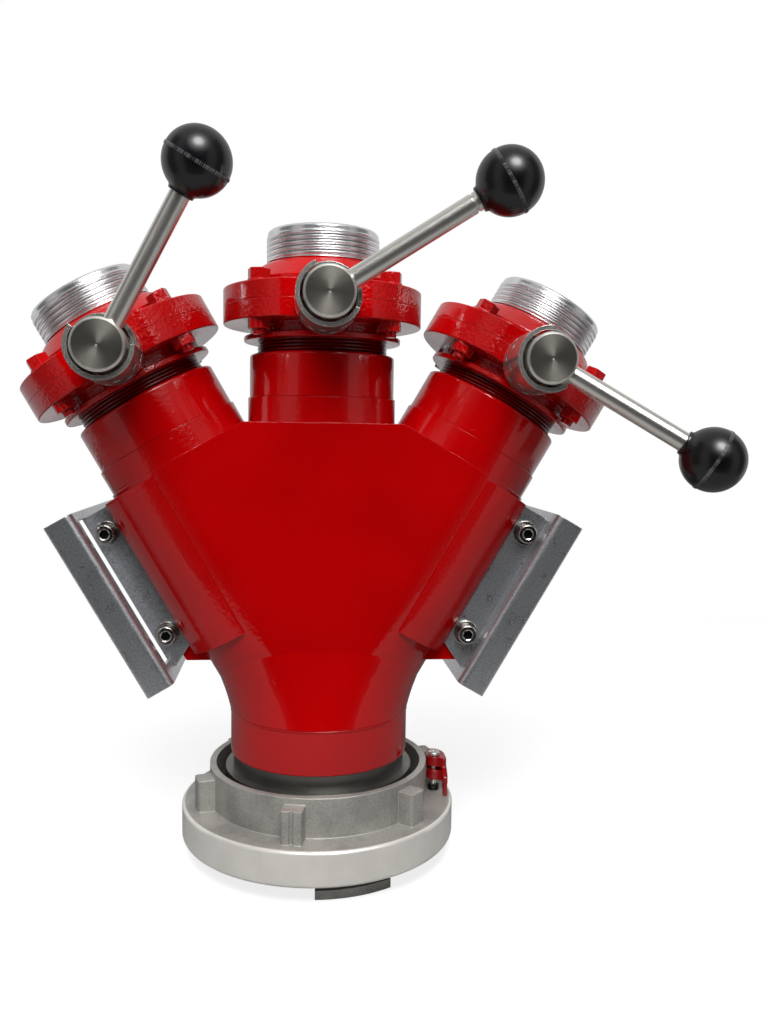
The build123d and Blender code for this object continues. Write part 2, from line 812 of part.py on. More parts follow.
head_height = lever_low + lever_height + lever_foot_gap
with BuildPart() as lock_pivot_screw:
    with BuildSketch(Plane(origin=(lever_place.X, lever_place.Y, ring_top - pivot_depth))):
        Circle(pivot_radius)
    extrude(amount=head_height - ring_top + pivot_depth)
    with BuildSketch(Plane(origin=(lever_place.X, lever_place.Y, head_height))):
        Circle(pivot_head_radius)
    extrude(amount=pivot_head_height)
    fillet(lock_pivot_screw.faces().sort_by(Axis.Z)[-1].edges(), pivot_head_height * 0.6)
    with BuildSketch(Plane(origin=(lever_place.X, lever_place.Y, head_height + pivot_head_height))):
        RegularPolygon(pivot_key_width / 2, 6, major_radius=False)
    extrude(amount=-pivot_key_depth, mode=Mode.SUBTRACT)
save(lock_pivot_screw.part, "lock_pivot_screw")

# Torsion spring under the boss, its closed turns as one sleeve
with BuildPart() as lock_spring:
    with BuildSketch(Plane(origin=(lever_place.X, lever_place.Y, ring_top))):
        Circle(pivot_radius + spring_fit + 2 * spring_wire_radius)
        Circle(pivot_radius + spring_fit, mode=Mode.SUBTRACT)
    extrude(amount=2 * spring_wire_radius * spring_turns)
save(lock_spring.part, "lock_spring")
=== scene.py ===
import json
import math

import bpy
from mathutils import Matrix, Vector


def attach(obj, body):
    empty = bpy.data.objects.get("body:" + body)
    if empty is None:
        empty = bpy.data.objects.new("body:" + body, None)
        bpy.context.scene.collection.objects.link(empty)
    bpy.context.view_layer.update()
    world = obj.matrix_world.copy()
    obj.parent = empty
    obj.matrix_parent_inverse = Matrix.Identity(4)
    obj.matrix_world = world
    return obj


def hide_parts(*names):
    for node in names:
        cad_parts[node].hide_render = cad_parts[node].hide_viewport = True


# Three-way hose manifold in a white studio, seen from the side of its three valve handles.
# Lengths in the tables are millimetres; meshes are made in metres.
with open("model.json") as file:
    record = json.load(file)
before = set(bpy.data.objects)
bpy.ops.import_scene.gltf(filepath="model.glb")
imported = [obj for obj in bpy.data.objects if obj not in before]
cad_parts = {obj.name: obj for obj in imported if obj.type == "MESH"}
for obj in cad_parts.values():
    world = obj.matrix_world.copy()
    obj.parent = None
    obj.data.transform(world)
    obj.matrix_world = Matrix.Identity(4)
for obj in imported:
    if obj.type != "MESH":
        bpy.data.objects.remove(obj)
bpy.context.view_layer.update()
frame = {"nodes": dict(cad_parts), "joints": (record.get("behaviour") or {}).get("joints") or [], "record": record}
nodes = frame["nodes"]
record = frame["record"]
mm = 0.001
sideNames = ("left", "centre", "right")
roundSegments = 192

joints = {joint["name"]: joint for joint in frame["joints"]}
mounts = {mount["name"]: mount for mount in record["mounts"]}


# Frame of a valve: Z along its branch, Y along its stem away from the handle, origin between the
# two flanges
def valveFrame(side):
    joint = joints[side + "_valve_turn"]
    along = Vector(mounts[side + "_outlet_thread"]["axis"]).normalized()
    stem = Vector(joint["axis"]).normalized()
    across = stem.cross(along).normalized()
    stem = along.cross(across)
    place = Matrix((across, stem, along)).transposed().to_4x4()
    place.translation = Vector(joint["pos_m"]) + along * valve["stemDrop"] * mm
    return place


# Frame of a handle at rest: as its valve's, turned about the stem with Z along the rod's side
def handleFrame(side):
    turned = -joints[side + "_valve_turn"]["range_deg"][0]
    drop = Matrix.Translation((0, 0, -valve["stemDrop"] * mm))
    return valveFrame(side) @ drop @ Matrix.Rotation(math.radians(turned), 4, "Y")


# Links each socket, or sets each value, on a node's inputs
def feed(tree, node, inputs):
    for name, value in inputs.items():
        if isinstance(value, bpy.types.NodeSocket):
            tree.links.new(value, node.inputs[name])
        else:
            node.inputs[name].default_value = value


def addNode(tree, kind, settings=None, inputs=None):
    made = tree.nodes.new(kind)
    for name, value in (settings or {}).items():
        setattr(made, name, value)
    feed(tree, made, inputs or {})
    return made


def calc(tree, operation, first, second=0.0, third=0.0, clamp=False):
    inputs = {0: first, 1: second, 2: third}
    made = addNode(tree, "ShaderNodeMath", {"operation": operation, "use_clamp": clamp}, inputs)
    return made.outputs[0]


def ramp(tree, value, low, high, start=0.0, end=1.0):
    inputs = {"Value": value, "From Min": low, "From Max": high, "To Min": start, "To Max": end}
    return addNode(tree, "ShaderNodeMapRange", {"interpolation_type": "SMOOTHSTEP"}, inputs).outputs[0]


def mixColour(tree, factor, first, second, blend="MIX"):
    settings = {"data_type": "RGBA", "blend_type": blend}
    return addNode(tree, "ShaderNodeMix", settings, {0: factor, 6: first, 7: second}).outputs[2]


def mixValue(tree, factor, first, second):
    inputs = {0: factor, 2: first, 3: second}
    return addNode(tree, "ShaderNodeMix", {"data_type": "FLOAT"}, inputs).outputs[0]


def vectorMath(tree, operation, first, second=(0, 0, 0), output=0):
    inputs = {0: first, 1: second}
    return addNode(tree, "ShaderNodeVectorMath", {"operation": operation}, inputs).outputs[output]


def noise(tree, position, scale, detail=3.0, roughness=0.5):
    inputs = {"Vector": position, "Scale": scale, "Detail": detail, "Roughness": roughness}
    return addNode(tree, "ShaderNodeTexNoise", None, inputs).outputs[0]


def newGroup(name, inputs, outputs):
    tree = bpy.data.node_groups.new(name, "ShaderNodeTree")
    kinds = {"float": "NodeSocketFloat", "colour": "NodeSocketColor", "vector": "NodeSocketVector"}
    for title, kind, value in inputs:
        socket = tree.interface.new_socket(name=title, in_out="INPUT", socket_type=kinds[kind])
        if value is not None:
            socket.default_value = value
    for title, kind in outputs:
        tree.interface.new_socket(name=title, in_out="OUTPUT", socket_type=kinds[kind])
    return tree, tree.nodes.new("NodeGroupInput"), tree.nodes.new("NodeGroupOutput")


def useGroup(tree, group, inputs):
    return addNode(tree, "ShaderNodeGroup", {"node_tree": group}, inputs)


skinOutputs = [("Colour", "colour"), ("Roughness", "float"), ("Height", "float")]


# Stoved enamel: slow drift of colour, an orange peel that comes and goes, and dust nibs
def makePaintSkin():
    tree, given, result = newGroup(
        "Paint skin",
        [
            ("Position", "vector", None),
            ("Colour", "colour", (0.4, 0, 0, 1)),
            ("Deep colour", "colour", (0.3, 0, 0, 1)),
            ("Peel scale", "float", 420.0),
            ("Peel", "float", 1.0),
            ("Roughness", "float", 0.08),
        ],
        skinOutputs,
    )
    position = given.outputs["Position"]
    drift = ramp(tree, noise(tree, position, 14.0, 2.0), 0.35, 0.7)
    colour = mixColour(tree, drift, given.outputs["Colour"], given.outputs["Deep colour"])
    patches = ramp(tree, noise(tree, position, 11.0, 1.0), 0.42, 0.68, 0.12, 1.0)
    peel = noise(tree, position, given.outputs["Peel scale"], 1.5)
    nibs = ramp(tree, noise(tree, position, 160.0, 0.0), 0.76, 0.84)
    height = calc(tree, "MULTIPLY", calc(tree, "MULTIPLY", peel, patches), given.outputs["Peel"])
    height = calc(tree, "ADD", height, calc(tree, "MULTIPLY", nibs, 0.5))
    rough = calc(tree, "MULTIPLY_ADD", patches, 0.05, given.outputs["Roughness"])
    feed(tree, result, {"Colour": colour, "Roughness": rough, "Height": height})
    return tree


# Worked metal: fine marks drawn out along one direction over cloudy patches
def makeMetalSkin():
    tree, given, result = newGroup(
        "Metal skin",
        [
            ("Position", "vector", None),
            ("Stretch", "vector", (1.0, 1.0, 1.0)),
            ("Colour", "colour", (0.6, 0.6, 0.6, 1)),
            ("Dark colour", "colour", (0.4, 0.4, 0.4, 1)),
            ("Roughness", "float", 0.3),
            ("Marks", "float", 0.1),
            ("Clouds", "float", 0.5),
            ("Cloud scale", "float", 60.0),
        ],
        skinOutputs,
    )
    position = given.outputs["Position"]
    drawn = vectorMath(tree, "MULTIPLY", position, given.outputs["Stretch"])
    marks = noise(tree, drawn, 1.0, 4.0, 0.6)
    clouds = ramp(tree, noise(tree, position, given.outputs["Cloud scale"], 4.0), 0.35, 0.7)
    clouds = calc(tree, "MULTIPLY", clouds, given.outputs["Clouds"])
    colour = mixColour(tree, clouds, given.outputs["Colour"], given.outputs["Dark colour"])
    swing = calc(tree, "MULTIPLY", calc(tree, "SUBTRACT", marks, 0.5), given.outputs["Marks"])
    rough = calc(tree, "ADD", given.outputs["Roughness"], swing, clamp=True)
    feed(tree, result, {"Colour": colour, "Roughness": rough, "Height": marks})
    return tree


# Sand-cast surface: fine grain with shallow lumps
def makeCastSkin():
    tree, given, result = newGroup(
        "Cast skin",
        [
            ("Position", "vector", None),
            ("Colour", "colour", (0.3, 0.3, 0.3, 1)),
            ("Dark colour", "colour", (0.2, 0.2, 0.2, 1)),
            ("Roughness", "float", 0.5),
            ("Grain", "float", 1.0),
        ],
        skinOutputs,
    )
    position = given.outputs["Position"]
    grain = noise(tree, position, 900.0, 2.0)
    lumps = noise(tree, position, 120.0, 3.0)
    stain = ramp(tree, noise(tree, position, 35.0, 5.0), 0.38, 0.68)
    colour = mixColour(tree, stain, given.outputs["Colour"], given.outputs["Dark colour"])
    fleck = ramp(tree, grain, 0.35, 0.65, 0.86, 1.06)
    colour = mixColour(tree, 1.0, colour, fleck, "MULTIPLY")
    height = calc(tree, "MULTIPLY_ADD", lumps, 0.8, grain)
    height = calc(tree, "MULTIPLY", height, given.outputs["Grain"])
    rough = calc(tree, "MULTIPLY_ADD", stain, 0.12, given.outputs["Roughness"])
    feed(tree, result, {"Colour": colour, "Roughness": rough, "Height": height})
    return tree


# Distance from the Z axis, for turned zones
def makeTurnedZone():
    tree, given, result = newGroup(
        "Turned zone",
        [("Position", "vector", None), ("Radius", "float", 0.09), ("Softness", "float", 0.0005)],
        [("Mask", "float"), ("Distance", "float")],
    )
    flat = vectorMath(tree, "MULTIPLY", given.outputs["Position"], (1, 1, 0))
    distance = vectorMath(tree, "LENGTH", flat, output="Value")
    upper = calc(tree, "ADD", given.outputs["Radius"], given.outputs["Softness"])
    mask = ramp(tree, distance, given.outputs["Radius"], upper)
    feed(tree, result, {"Mask": mask, "Distance": distance})
    return tree


# Corners, where a rounded normal turns away from the surface's own; metals are lightened there, as rubbed edges
# and, on the bracket sheet and polished stainless, as a painted highlight
def makeEdgeRubAndHighlight():
    tree, given, result = newGroup("Rubbed edges and painted highlight", [("Radius", "float", 0.0008)], [("Mask", "float")])
    bevel = addNode(tree, "ShaderNodeBevel", {"samples": 4}, {"Radius": given.outputs["Radius"]})
    own = tree.nodes.new("ShaderNodeNewGeometry").outputs["Normal"]
    meet = vectorMath(tree, "DOT_PRODUCT", bevel.outputs[0], own, "Value")
    feed(tree, result, {"Mask": ramp(tree, meet, 0.8, 0.985, 1.0, 0.0)})
    return tree


# Studio seen in reflections: dark around the camera, a pale panel on either side of it, a soft lamp
# above it and a pale back and ceiling
def makeStudioSurround():
    tree, given, result = newGroup(
        "Studio surround",
        [
            ("Direction", "vector", None),
            ("Ambient light", "float", 0.12),
            ("Panel light", "float", 0.35),
            ("Back light", "float", 0.6),
            ("Top light", "float", 0.9),
            ("Lamp light", "float", 6.0),
            ("Lamp direction", "vector", (0.1, -0.7, 0.7)),
            ("Panel start", "float", 0.62),
            ("Panel end", "float", 0.92),
        ],
        [("Light", "float")],
    )
    direction = given.outputs["Direction"]
    x, y, z = addNode(tree, "ShaderNodeSeparateXYZ", None, {0: direction}).outputs
    level = calc(tree, "SQRT", calc(tree, "SUBTRACT", 1.0, calc(tree, "MULTIPLY", z, z), clamp=True))
    sideways = calc(tree, "DIVIDE", calc(tree, "ABSOLUTE", x), calc(tree, "MAXIMUM", level, 0.001))
    starts = calc(tree, "ADD", given.outputs["Panel start"], 0.03)
    ends = calc(tree, "ADD", given.outputs["Panel end"], 0.03)
    panel = calc(tree, "MULTIPLY", ramp(tree, sideways, given.outputs["Panel start"], starts),
                 ramp(tree, sideways, given.outputs["Panel end"], ends, 1.0, 0.0))
    front = ramp(tree, y, 0.0, 0.05, 1.0, 0.0)
    panel = calc(tree, "MULTIPLY", calc(tree, "MULTIPLY", panel, front), given.outputs["Panel light"])
    around = calc(tree, "MULTIPLY", ramp(tree, y, -0.93, -0.75), given.outputs["Ambient light"])
    back = calc(tree, "MULTIPLY", ramp(tree, y, 0.1, 0.3), given.outputs["Back light"])
    top = calc(tree, "MULTIPLY", ramp(tree, z, 0.72, 0.85), given.outputs["Top light"])
    near = vectorMath(tree, "DOT_PRODUCT", direction, given.outputs["Lamp direction"], "Value")
    lamp = calc(tree, "MULTIPLY", ramp(tree, near, 0.955, 0.985), given.outputs["Lamp light"])
    haloLight = calc(tree, "MULTIPLY", given.outputs["Lamp light"], 0.16)
    halo = calc(tree, "MULTIPLY", ramp(tree, near, 0.83, 0.97), haloLight)
    light = panel
    for other in (back, top, around, lamp, halo):
        light = calc(tree, "MAXIMUM", light, other)
    feed(tree, result, {"Light": light})
    return tree


paintSkin = makePaintSkin()
metalSkin = makeMetalSkin()
castSkin = makeCastSkin()
turnedZone = makeTurnedZone()
edgeRubAndHighlight = makeEdgeRubAndHighlight()
studioSurround = makeStudioSurround()


# Starts a material: its tree, its surface shader and its object position
def startMaterial(name, constants):
    made = bpy.data.materials.new(name)
    made.use_nodes = True
    tree = made.node_tree
    shader = tree.nodes["Principled BSDF"]
    feed(tree, shader, constants)
    position = tree.nodes.new("ShaderNodeTexCoord").outputs["Object"]
    return made, tree, shader, position


# Rounds the shaded edges and adds the height on top
def addRelief(tree, shader, height, depth, edge=0.0):
    inputs = {"Height": height, "Distance": depth, "Strength": 1.0}
    if edge:
        bevel = addNode(tree, "ShaderNodeBevel", {"samples": 4}, {"Radius": edge})
        inputs["Normal"] = bevel.outputs[0]
    feed(tree, shader, {"Normal": addNode(tree, "ShaderNodeBump", None, inputs).outputs[0]})


# Draws the sheen round the Z axis, as on a turned piece
def addTurnedSheen(tree, shader):
    tangent = addNode(tree, "ShaderNodeTangent", {"direction_type": "RADIAL", "axis": "Z"})
    feed(tree, shader, {"Tangent": tangent.outputs[0], "Anisotropic Rotation": 0.25})


enamel = {
    "colour": (0.368, 0.0004, 0.001, 1),
    "deepColour": (0.325, 0.0003, 0.0008, 1),
    # A darker copy of the red for the tail thread: painted shade
    "shadedThreadColour": (0.12, 0.0003, 0.0008, 1),
    "leverColour": (0.24, 0.0005, 0.0015, 1),
    "roughness": 0.055,
    "peelDepth": 0.00012,
    "bodyPeel": 1.6, "castingPeel": 6.0, "smallPeel": 0.5,
    "edge": 0.0007,
    "specular": 0.5,
}


def makeEnamel(name, colour, deepColour, peel, edge):
    made, tree, shader, position = startMaterial(name, {"Specular IOR Level": enamel["specular"]})
    skin = useGroup(tree, paintSkin, {
        "Position": position, "Colour": colour, "Deep colour": deepColour,
        "Peel": peel, "Roughness": enamel["roughness"],
    })
    feed(tree, shader, {"Base Color": skin.outputs["Colour"], "Roughness": skin.outputs["Roughness"]})
    addRelief(tree, shader, skin.outputs["Height"], enamel["peelDepth"], edge)
    return made


# What a metal has unless its own table says otherwise; edge is how far its corners are rounded
plainMetal = {
    "marks": 0.2, "clouds": 0.6, "cloudScale": 60.0, "stretch": (300, 300, 300), "anisotropy": 0.0,
    "edge": 0.0003, "rubAndHighlight": 0.0,
}
stainlessLook = {
    **plainMetal, "colour": (0.76, 0.74, 0.69, 1), "dark": (0.64, 0.62, 0.575, 1), "metallic": 0.93,
    "roughness": 0.28, "marks": 0.04, "clouds": 0.35, "stretch": (300, 300, 20), "depth": 0.000001,
    "anisotropy": 0.6, "edge": 0.0002,
}
# Its lightened rim edges are a painted highlight
polishedLook = {
    **plainMetal, "colour": (0.64, 0.62, 0.585, 1), "dark": (0.5, 0.485, 0.455, 1), "metallic": 0.86,
    "roughness": 0.2, "marks": 0.08, "clouds": 0.2, "stretch": (300, 60, 300), "depth": 0.000003,
    "edge": 0.0005, "rubAndHighlight": 0.85,
}
# Its lightened cut edges are a painted highlight
sheetLook = {
    **plainMetal, "colour": (0.66, 0.675, 0.7, 1), "dark": (0.45, 0.465, 0.49, 1), "metallic": 0.9,
    "roughness": 0.3, "clouds": 1.0, "cloudScale": 800.0, "stretch": (90, 90, 90), "depth": 0.000008,
    "edge": 0.0008, "rubAndHighlight": 0.9,
}
hardwareLook = {
    **plainMetal, "colour": (0.6, 0.58, 0.55, 1), "dark": (0.45, 0.43, 0.41, 1), "metallic": 1.0,
    "roughness": 0.22, "cloudScale": 200.0, "stretch": (200, 200, 200), "depth": 0.000006, "rubAndHighlight": 0.3,
}
# Dark steel for the coupling shank and retainer: machined metal, partly painted shade where they sit in shadow
machinedShadedLook = {
    **plainMetal, "colour": (0.2, 0.195, 0.18, 1), "dark": (0.13, 0.127, 0.117, 1), "metallic": 0.9,
    "roughness": 0.36, "cloudScale": 40.0, "stretch": (60, 60, 900), "depth": 0.000006,
    "edge": 0.0004, "rubAndHighlight": 0.3,
}
bronzeLook = {
    **plainMetal, "colour": (0.55, 0.38, 0.18, 1), "dark": (0.35, 0.22, 0.09, 1), "metallic": 0.9,
    "roughness": 0.35, "depth": 0.00001,
}
springLook = {
    **plainMetal, "colour": (0.02, 0.02, 0.022, 1), "dark": (0.01, 0.01, 0.01, 1), "metallic": 0.8,
    "roughness": 0.35, "clouds": 0.5, "depth": 0.00001, "edge": 0.0,
}
# Colour of lightened corners: rubbed metal, and a painted highlight on the sheet and polished stainless
rubbedAndHighlitMetal = (0.8, 0.79, 0.76, 1)


def useMetalSkin(tree, position, look):
    return useGroup(tree, metalSkin, {
        "Position": position, "Stretch": look["stretch"], "Colour": look["colour"],
        "Dark colour": look["dark"], "Roughness": look["roughness"],
        "Marks": look["marks"], "Clouds": look["clouds"], "Cloud scale": look["cloudScale"],
    })


def makeMetal(name, look):
    made, tree, shader, position = startMaterial(
        name, {"Metallic": look["metallic"], "Anisotropic": look["anisotropy"]})
    skin = useMetalSkin(tree, position, look)
    colour = skin.outputs["Colour"]
    # Lightened corners: rubbed edges, and a painted highlight on the sheet and polished stainless
    if look["rubAndHighlight"]:
        rubAndHighlightMask = useGroup(tree, edgeRubAndHighlight, {"Radius": look["edge"]}).outputs["Mask"]
        colour = mixColour(tree, calc(tree, "MULTIPLY", rubAndHighlightMask, look["rubAndHighlight"]), colour, rubbedAndHighlitMetal)
    feed(tree, shader, {"Base Color": colour, "Roughness": skin.outputs["Roughness"]})
    if look["anisotropy"]:
        addTurnedSheen(tree, shader)
    addRelief(tree, shader, skin.outputs["Height"], look["depth"], look["edge"])
    return made


threadLook = {
    **plainMetal, "colour": (0.88, 0.88, 0.89, 1), "dark": (0.72, 0.72, 0.73, 1), "metallic": 0.92,
    "roughness": 0.24, "marks": 0.1, "clouds": 0.5, "stretch": (400, 400, 40), "depth": 0.000003,
    "anisotropy": 0.6,
    "rootColour": (0.05, 0.03, 0.03, 1), "rootRadius": 0.03705, "boreRadius": 0.0325,
}


# Bare thread, dark and not metallic in its roots
def makeThreadMetal():
    look = threadLook
    made, tree, shader, position = startMaterial("Bare thread", {"Anisotropic": look["anisotropy"]})
    zone = useGroup(tree, turnedZone, {
        "Position": position, "Radius": look["rootRadius"], "Softness": 0.0003})
    skin = useMetalSkin(tree, position, look)
    bore = look["boreRadius"]
    within = ramp(tree, zone.outputs["Distance"], bore, bore + 0.0005, 1.0, 0.0)
    bare = calc(tree, "MAXIMUM", zone.outputs["Mask"], within)
    feed(tree, shader, {
        "Base Color": mixColour(tree, bare, look["rootColour"], skin.outputs["Colour"]),
        "Metallic": calc(tree, "MULTIPLY", bare, look["metallic"]),
        "Roughness": skin.outputs["Roughness"],
    })
    addTurnedSheen(tree, shader)
    addRelief(tree, shader, skin.outputs["Height"], look["depth"])
    return made


turnedFace = {
    **plainMetal, "colour": (0.19, 0.182, 0.16, 1), "dark": (0.14, 0.134, 0.117, 1), "metallic": 0.9,
    "roughness": 0.36, "marks": 0.15, "stretch": (250, 250, 250), "depth": 0.000008,
    "anisotropy": 0.72, "grooves": 5200.0,
}


# Face turned on a lathe: rings about Z that spread the light into opposite sheens
def makeTurnedFace():
    made, tree, shader, position = startMaterial(
        "Turned face", {"Metallic": turnedFace["metallic"], "Anisotropic": turnedFace["anisotropy"]})
    zone = useGroup(tree, turnedZone, {"Position": position, "Radius": 0.0})
    skin = useMetalSkin(tree, position, turnedFace)
    feed(tree, shader, {"Base Color": skin.outputs["Colour"], "Roughness": skin.outputs["Roughness"]})
    addTurnedSheen(tree, shader)
    outwards = calc(tree, "MULTIPLY", zone.outputs["Distance"], turnedFace["grooves"])
    across = addNode(tree, "ShaderNodeCombineXYZ", None, {0: outwards}).outputs[0]
    addRelief(tree, shader, noise(tree, across, 1.0, 2.0), turnedFace["depth"])
    return made


castAlloy = {
    "colour": (0.4, 0.388, 0.36, 1), "dark": (0.29, 0.282, 0.262, 1), "wornColour": (0.75, 0.74, 0.7, 1),
    "roughness": 0.42, "metallic": 0.5, "grainDepth": 0.00008, "edge": 0.001, "rubAndHighlight": 0.6,
}
turnedRim = {
    **plainMetal, "colour": (0.78, 0.76, 0.71, 1), "dark": (0.64, 0.62, 0.58, 1), "roughness": 0.34,
    "marks": 0.25, "clouds": 0.4, "stretch": (40, 40, 2600), "radius": 0.0945,
}


# Cast alloy whose outer rim is turned bright
def makeCastAlloy(name, turnedRadius):
    made, tree, shader, position = startMaterial(name, {"Metallic": castAlloy["metallic"]})
    zone = useGroup(tree, turnedZone, {
        "Position": position, "Radius": turnedRadius, "Softness": 0.0012})
    cast = useGroup(tree, castSkin, {
        "Position": position, "Colour": castAlloy["colour"], "Dark colour": castAlloy["dark"],
        "Roughness": castAlloy["roughness"],
    })
    turned = useMetalSkin(tree, position, turnedRim)
    mask = zone.outputs["Mask"]
    colour = mixColour(tree, mask, cast.outputs["Colour"], turned.outputs["Colour"])
    rubAndHighlightMask = useGroup(tree, edgeRubAndHighlight, {"Radius": castAlloy["edge"]}).outputs["Mask"]
    rubAndHighlightMask = calc(tree, "MULTIPLY", rubAndHighlightMask, castAlloy["rubAndHighlight"])
    colour = mixColour(tree, rubAndHighlightMask, colour, castAlloy["wornColour"])
    rough = mixValue(tree, mask, cast.outputs["Roughness"], turned.outputs["Roughness"])
    grooves = calc(tree, "MULTIPLY", turned.outputs["Height"], 0.08)
    height = mixValue(tree, mask, cast.outputs["Height"], grooves)
    feed(tree, shader, {"Base Color": colour, "Roughness": rough})
    addRelief(tree, shader, height, castAlloy["grainDepth"], castAlloy["edge"])
    return made


plastics = {
    "knob": {"colour": (0.003, 0.0031, 0.0036, 1), "roughness": 0.24, "bump": 0.00002, "specular": 0.55},
    # The seam's lighter grey is a painted glint
    "seam": {"colour": (0.075, 0.075, 0.08, 1), "roughness": 0.4, "bump": 0.00002, "specular": 0.6},
    "white": {"colour": (0.8, 0.8, 0.77, 1), "roughness": 0.4, "bump": 0.00001, "specular": 0.5},
    "rubber": {"colour": (0.012, 0.012, 0.012, 1), "roughness": 0.6, "bump": 0.00004, "specular": 0.4},
}


def makePlastic(name, look):
    made, tree, shader, position = startMaterial(
        name, {"Base Color": look["colour"], "Specular IOR Level": look["specular"]})
    skin = useGroup(tree, metalSkin, {
        "Position": position, "Stretch": (220, 220, 220),
        "Roughness": look["roughness"], "Marks": 0.08})
    feed(tree, shader, {"Roughness": skin.outputs["Roughness"]})
    addRelief(tree, shader, skin.outputs["Height"], look["bump"])
    return made


reds = (enamel["colour"], enamel["deepColour"])
redEnamel = makeEnamel("Red enamel", *reds, enamel["bodyPeel"], enamel["edge"])
redCasting = makeEnamel("Red enamel on castings", *reds, enamel["castingPeel"], enamel["edge"])
# The tail thread's darker red is painted shade
shadedThreadReds = (enamel["shadedThreadColour"], enamel["shadedThreadColour"])
shadedRedThread = makeEnamel("Red enamel in thread, painted shade", *shadedThreadReds, enamel["smallPeel"], 0.0)
leverReds = (enamel["leverColour"], enamel["leverColour"])
leverEnamel = makeEnamel("Red enamel on lever", *leverReds, enamel["smallPeel"], enamel["edge"])
stainless = makeMetal("Stainless", stainlessLook)
polished = makeMetal("Polished stainless", polishedLook)
threadMetal = makeThreadMetal()
sheetMetal = makeMetal("Bracket sheet", sheetLook)
washerMetal = makeMetal("Zinc hardware", hardwareLook)
bronze = makeMetal("Bronze", bronzeLook)
springWire = makeMetal("Spring wire", springLook)
machinedAndShaded = makeMetal("Dark machine-finished steel with painted shade", machinedShadedLook)
turnedSteel = makeTurnedFace()
castRing = makeCastAlloy("Cast alloy with turned rim", turnedRim["radius"])
castPlain = makeCastAlloy("Cast alloy", 1.0)
blackKnob = makePlastic("Black knob", plastics["knob"])
knobSeamWithGlint = makePlastic("Knob seam with painted glint", plastics["seam"])
whitePlastic = makePlastic("White plastic", plastics["white"])
rubber = makePlastic("Rubber", plastics["rubber"])
print("materials made")


def newObject(name, data):
    made = bpy.data.objects.new(name, data)
    bpy.context.scene.collection.objects.link(made)
    return made


# A piece of the manifold: points in millimetres in its own frame, the body that it rides on, its
# material slot, which is not used, and the nodes that it stands for
def meshPiece(name, vertices, faces, materials, place, body, slotName, replaced=(), sharp=28.0):
    mesh = bpy.data.meshes.new(name)
    mesh.from_pydata([tuple(c * mm for c in v) for v in vertices], [], faces)
    mesh.validate()
    for entry in materials:
        mesh.materials.append(entry)
    for polygon in mesh.polygons:
        polygon.use_smooth = True
    mesh.set_sharp_from_angle(angle=math.radians(sharp))
    made = newObject(name, mesh)
    made.matrix_world = place
    weighted = made.modifiers.new("Even shading", "WEIGHTED_NORMAL")
    weighted.keep_sharp = True
    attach(made, body)
    if replaced:
        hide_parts(*replaced)
    return made


# Rounds the corners of an outline given as (radius, height, corner rounding)
def roundOutline(points, closed=True, steps=5):
    outline = []
    count = len(points)
    for index, (r, z, rounding) in enumerate(points):
        inner = closed or 0 < index < count - 1
        if rounding <= 0 or not inner:
            outline.append((r, z))
            continue
        here = Vector((r, z))
        before = Vector(points[index - 1][:2]) - here
        after = Vector(points[(index + 1) % count][:2]) - here
        angle = before.angle(after)
        reach = min(rounding / math.tan(angle / 2), before.length * 0.48, after.length * 0.48)
        radius = reach * math.tan(angle / 2)
        bisector = (before.normalized() + after.normalized()).normalized()
        centre = here + bisector * (radius / math.sin(angle / 2))
        start = here + before.normalized() * reach - centre
        finish = here + after.normalized() * reach - centre
        turn = start.angle_signed(finish)
        for step in range(steps + 1):
            spoke = start.copy()
            spoke.rotate(Matrix.Rotation(-turn * step / steps, 2))
            outline.append(tuple(centre + spoke))
    return outline


# Surface of revolution about Z; warp may move each vertex
def lathe(outline, closed=True, segments=None, warp=None):
    segments = segments or roundSegments
    vertices = []
    for step in range(segments):
        turn = 2 * math.pi * step / segments
        for r, z in outline:
            point = (r * math.cos(turn), r * math.sin(turn), z)
            vertices.append(warp(point) if warp else point)
    count = len(outline)
    faces = []
    for step in range(segments):
        following = (step + 1) % segments
        for index in range(count if closed else count - 1):
            other = (index + 1) % count
            faces.append((step * count + index, following * count + index,
                          following * count + other, step * count + other))
    return vertices, faces


# Joins several (vertices, faces) lists
def joinParts(*parts):
    vertices, faces = [], []
    for partVertices, partFaces in parts:
        start = len(vertices)
        vertices += list(partVertices)
        faces += [tuple(start + i for i in face) for face in partFaces]
    return vertices, faces


def movePart(part, matrix):
    return [tuple(matrix @ Vector(v)) for v in part[0]], part[1]


# Helical thread whose mesh rows climb with the helix, running out at both ends
def threadSurface(radius, depth, pitch, low, high, pilot, samples=12):
    rows = (int((high - low) / pitch) + 3) * samples
    vertices, faces = [], []
    for step in range(roundSegments):
        turn = 2 * math.pi * step / roundSegments
        for row in range(rows + 1):
            z = low + pitch * (row / samples + step / roundSegments - 1)
            z = min(high, max(low, z))
            crest = min(1.0, max(0.0, (abs(2 * (row / samples % 1.0) - 1) - 0.05) / 0.5))
            entry, runout = (z - low) / (0.6 * pitch), (high - pilot - z) / (0.5 * pitch)
            fade = min(1.0, max(0.0, entry), max(0.0, runout))
            r = radius - depth * (1 - crest) * fade
            if z > high - pilot:
                r = radius - pilotStep(z, high, pilot, depth)
            vertices.append((r * math.cos(turn), r * math.sin(turn), z))
    count = rows + 1
    for step in range(roundSegments):
        last = step == roundSegments - 1
        following, climb = (0, samples) if last else (step + 1, 0)
        for row in range(rows - climb):
            faces.append((step * count + row, following * count + row + climb,
                          following * count + row + climb + 1, step * count + row + 1))
    return vertices, faces


# The plain end beyond the thread lies a little below the crests and has a chamfered mouth
def pilotStep(z, high, pilot, depth):
    into = z - (high - pilot)
    step = min(1.0, into / 0.5) * 0.35
    mouth = max(0.0, into - (pilot - 1.4))
    return depth * step + mouth * 0.9


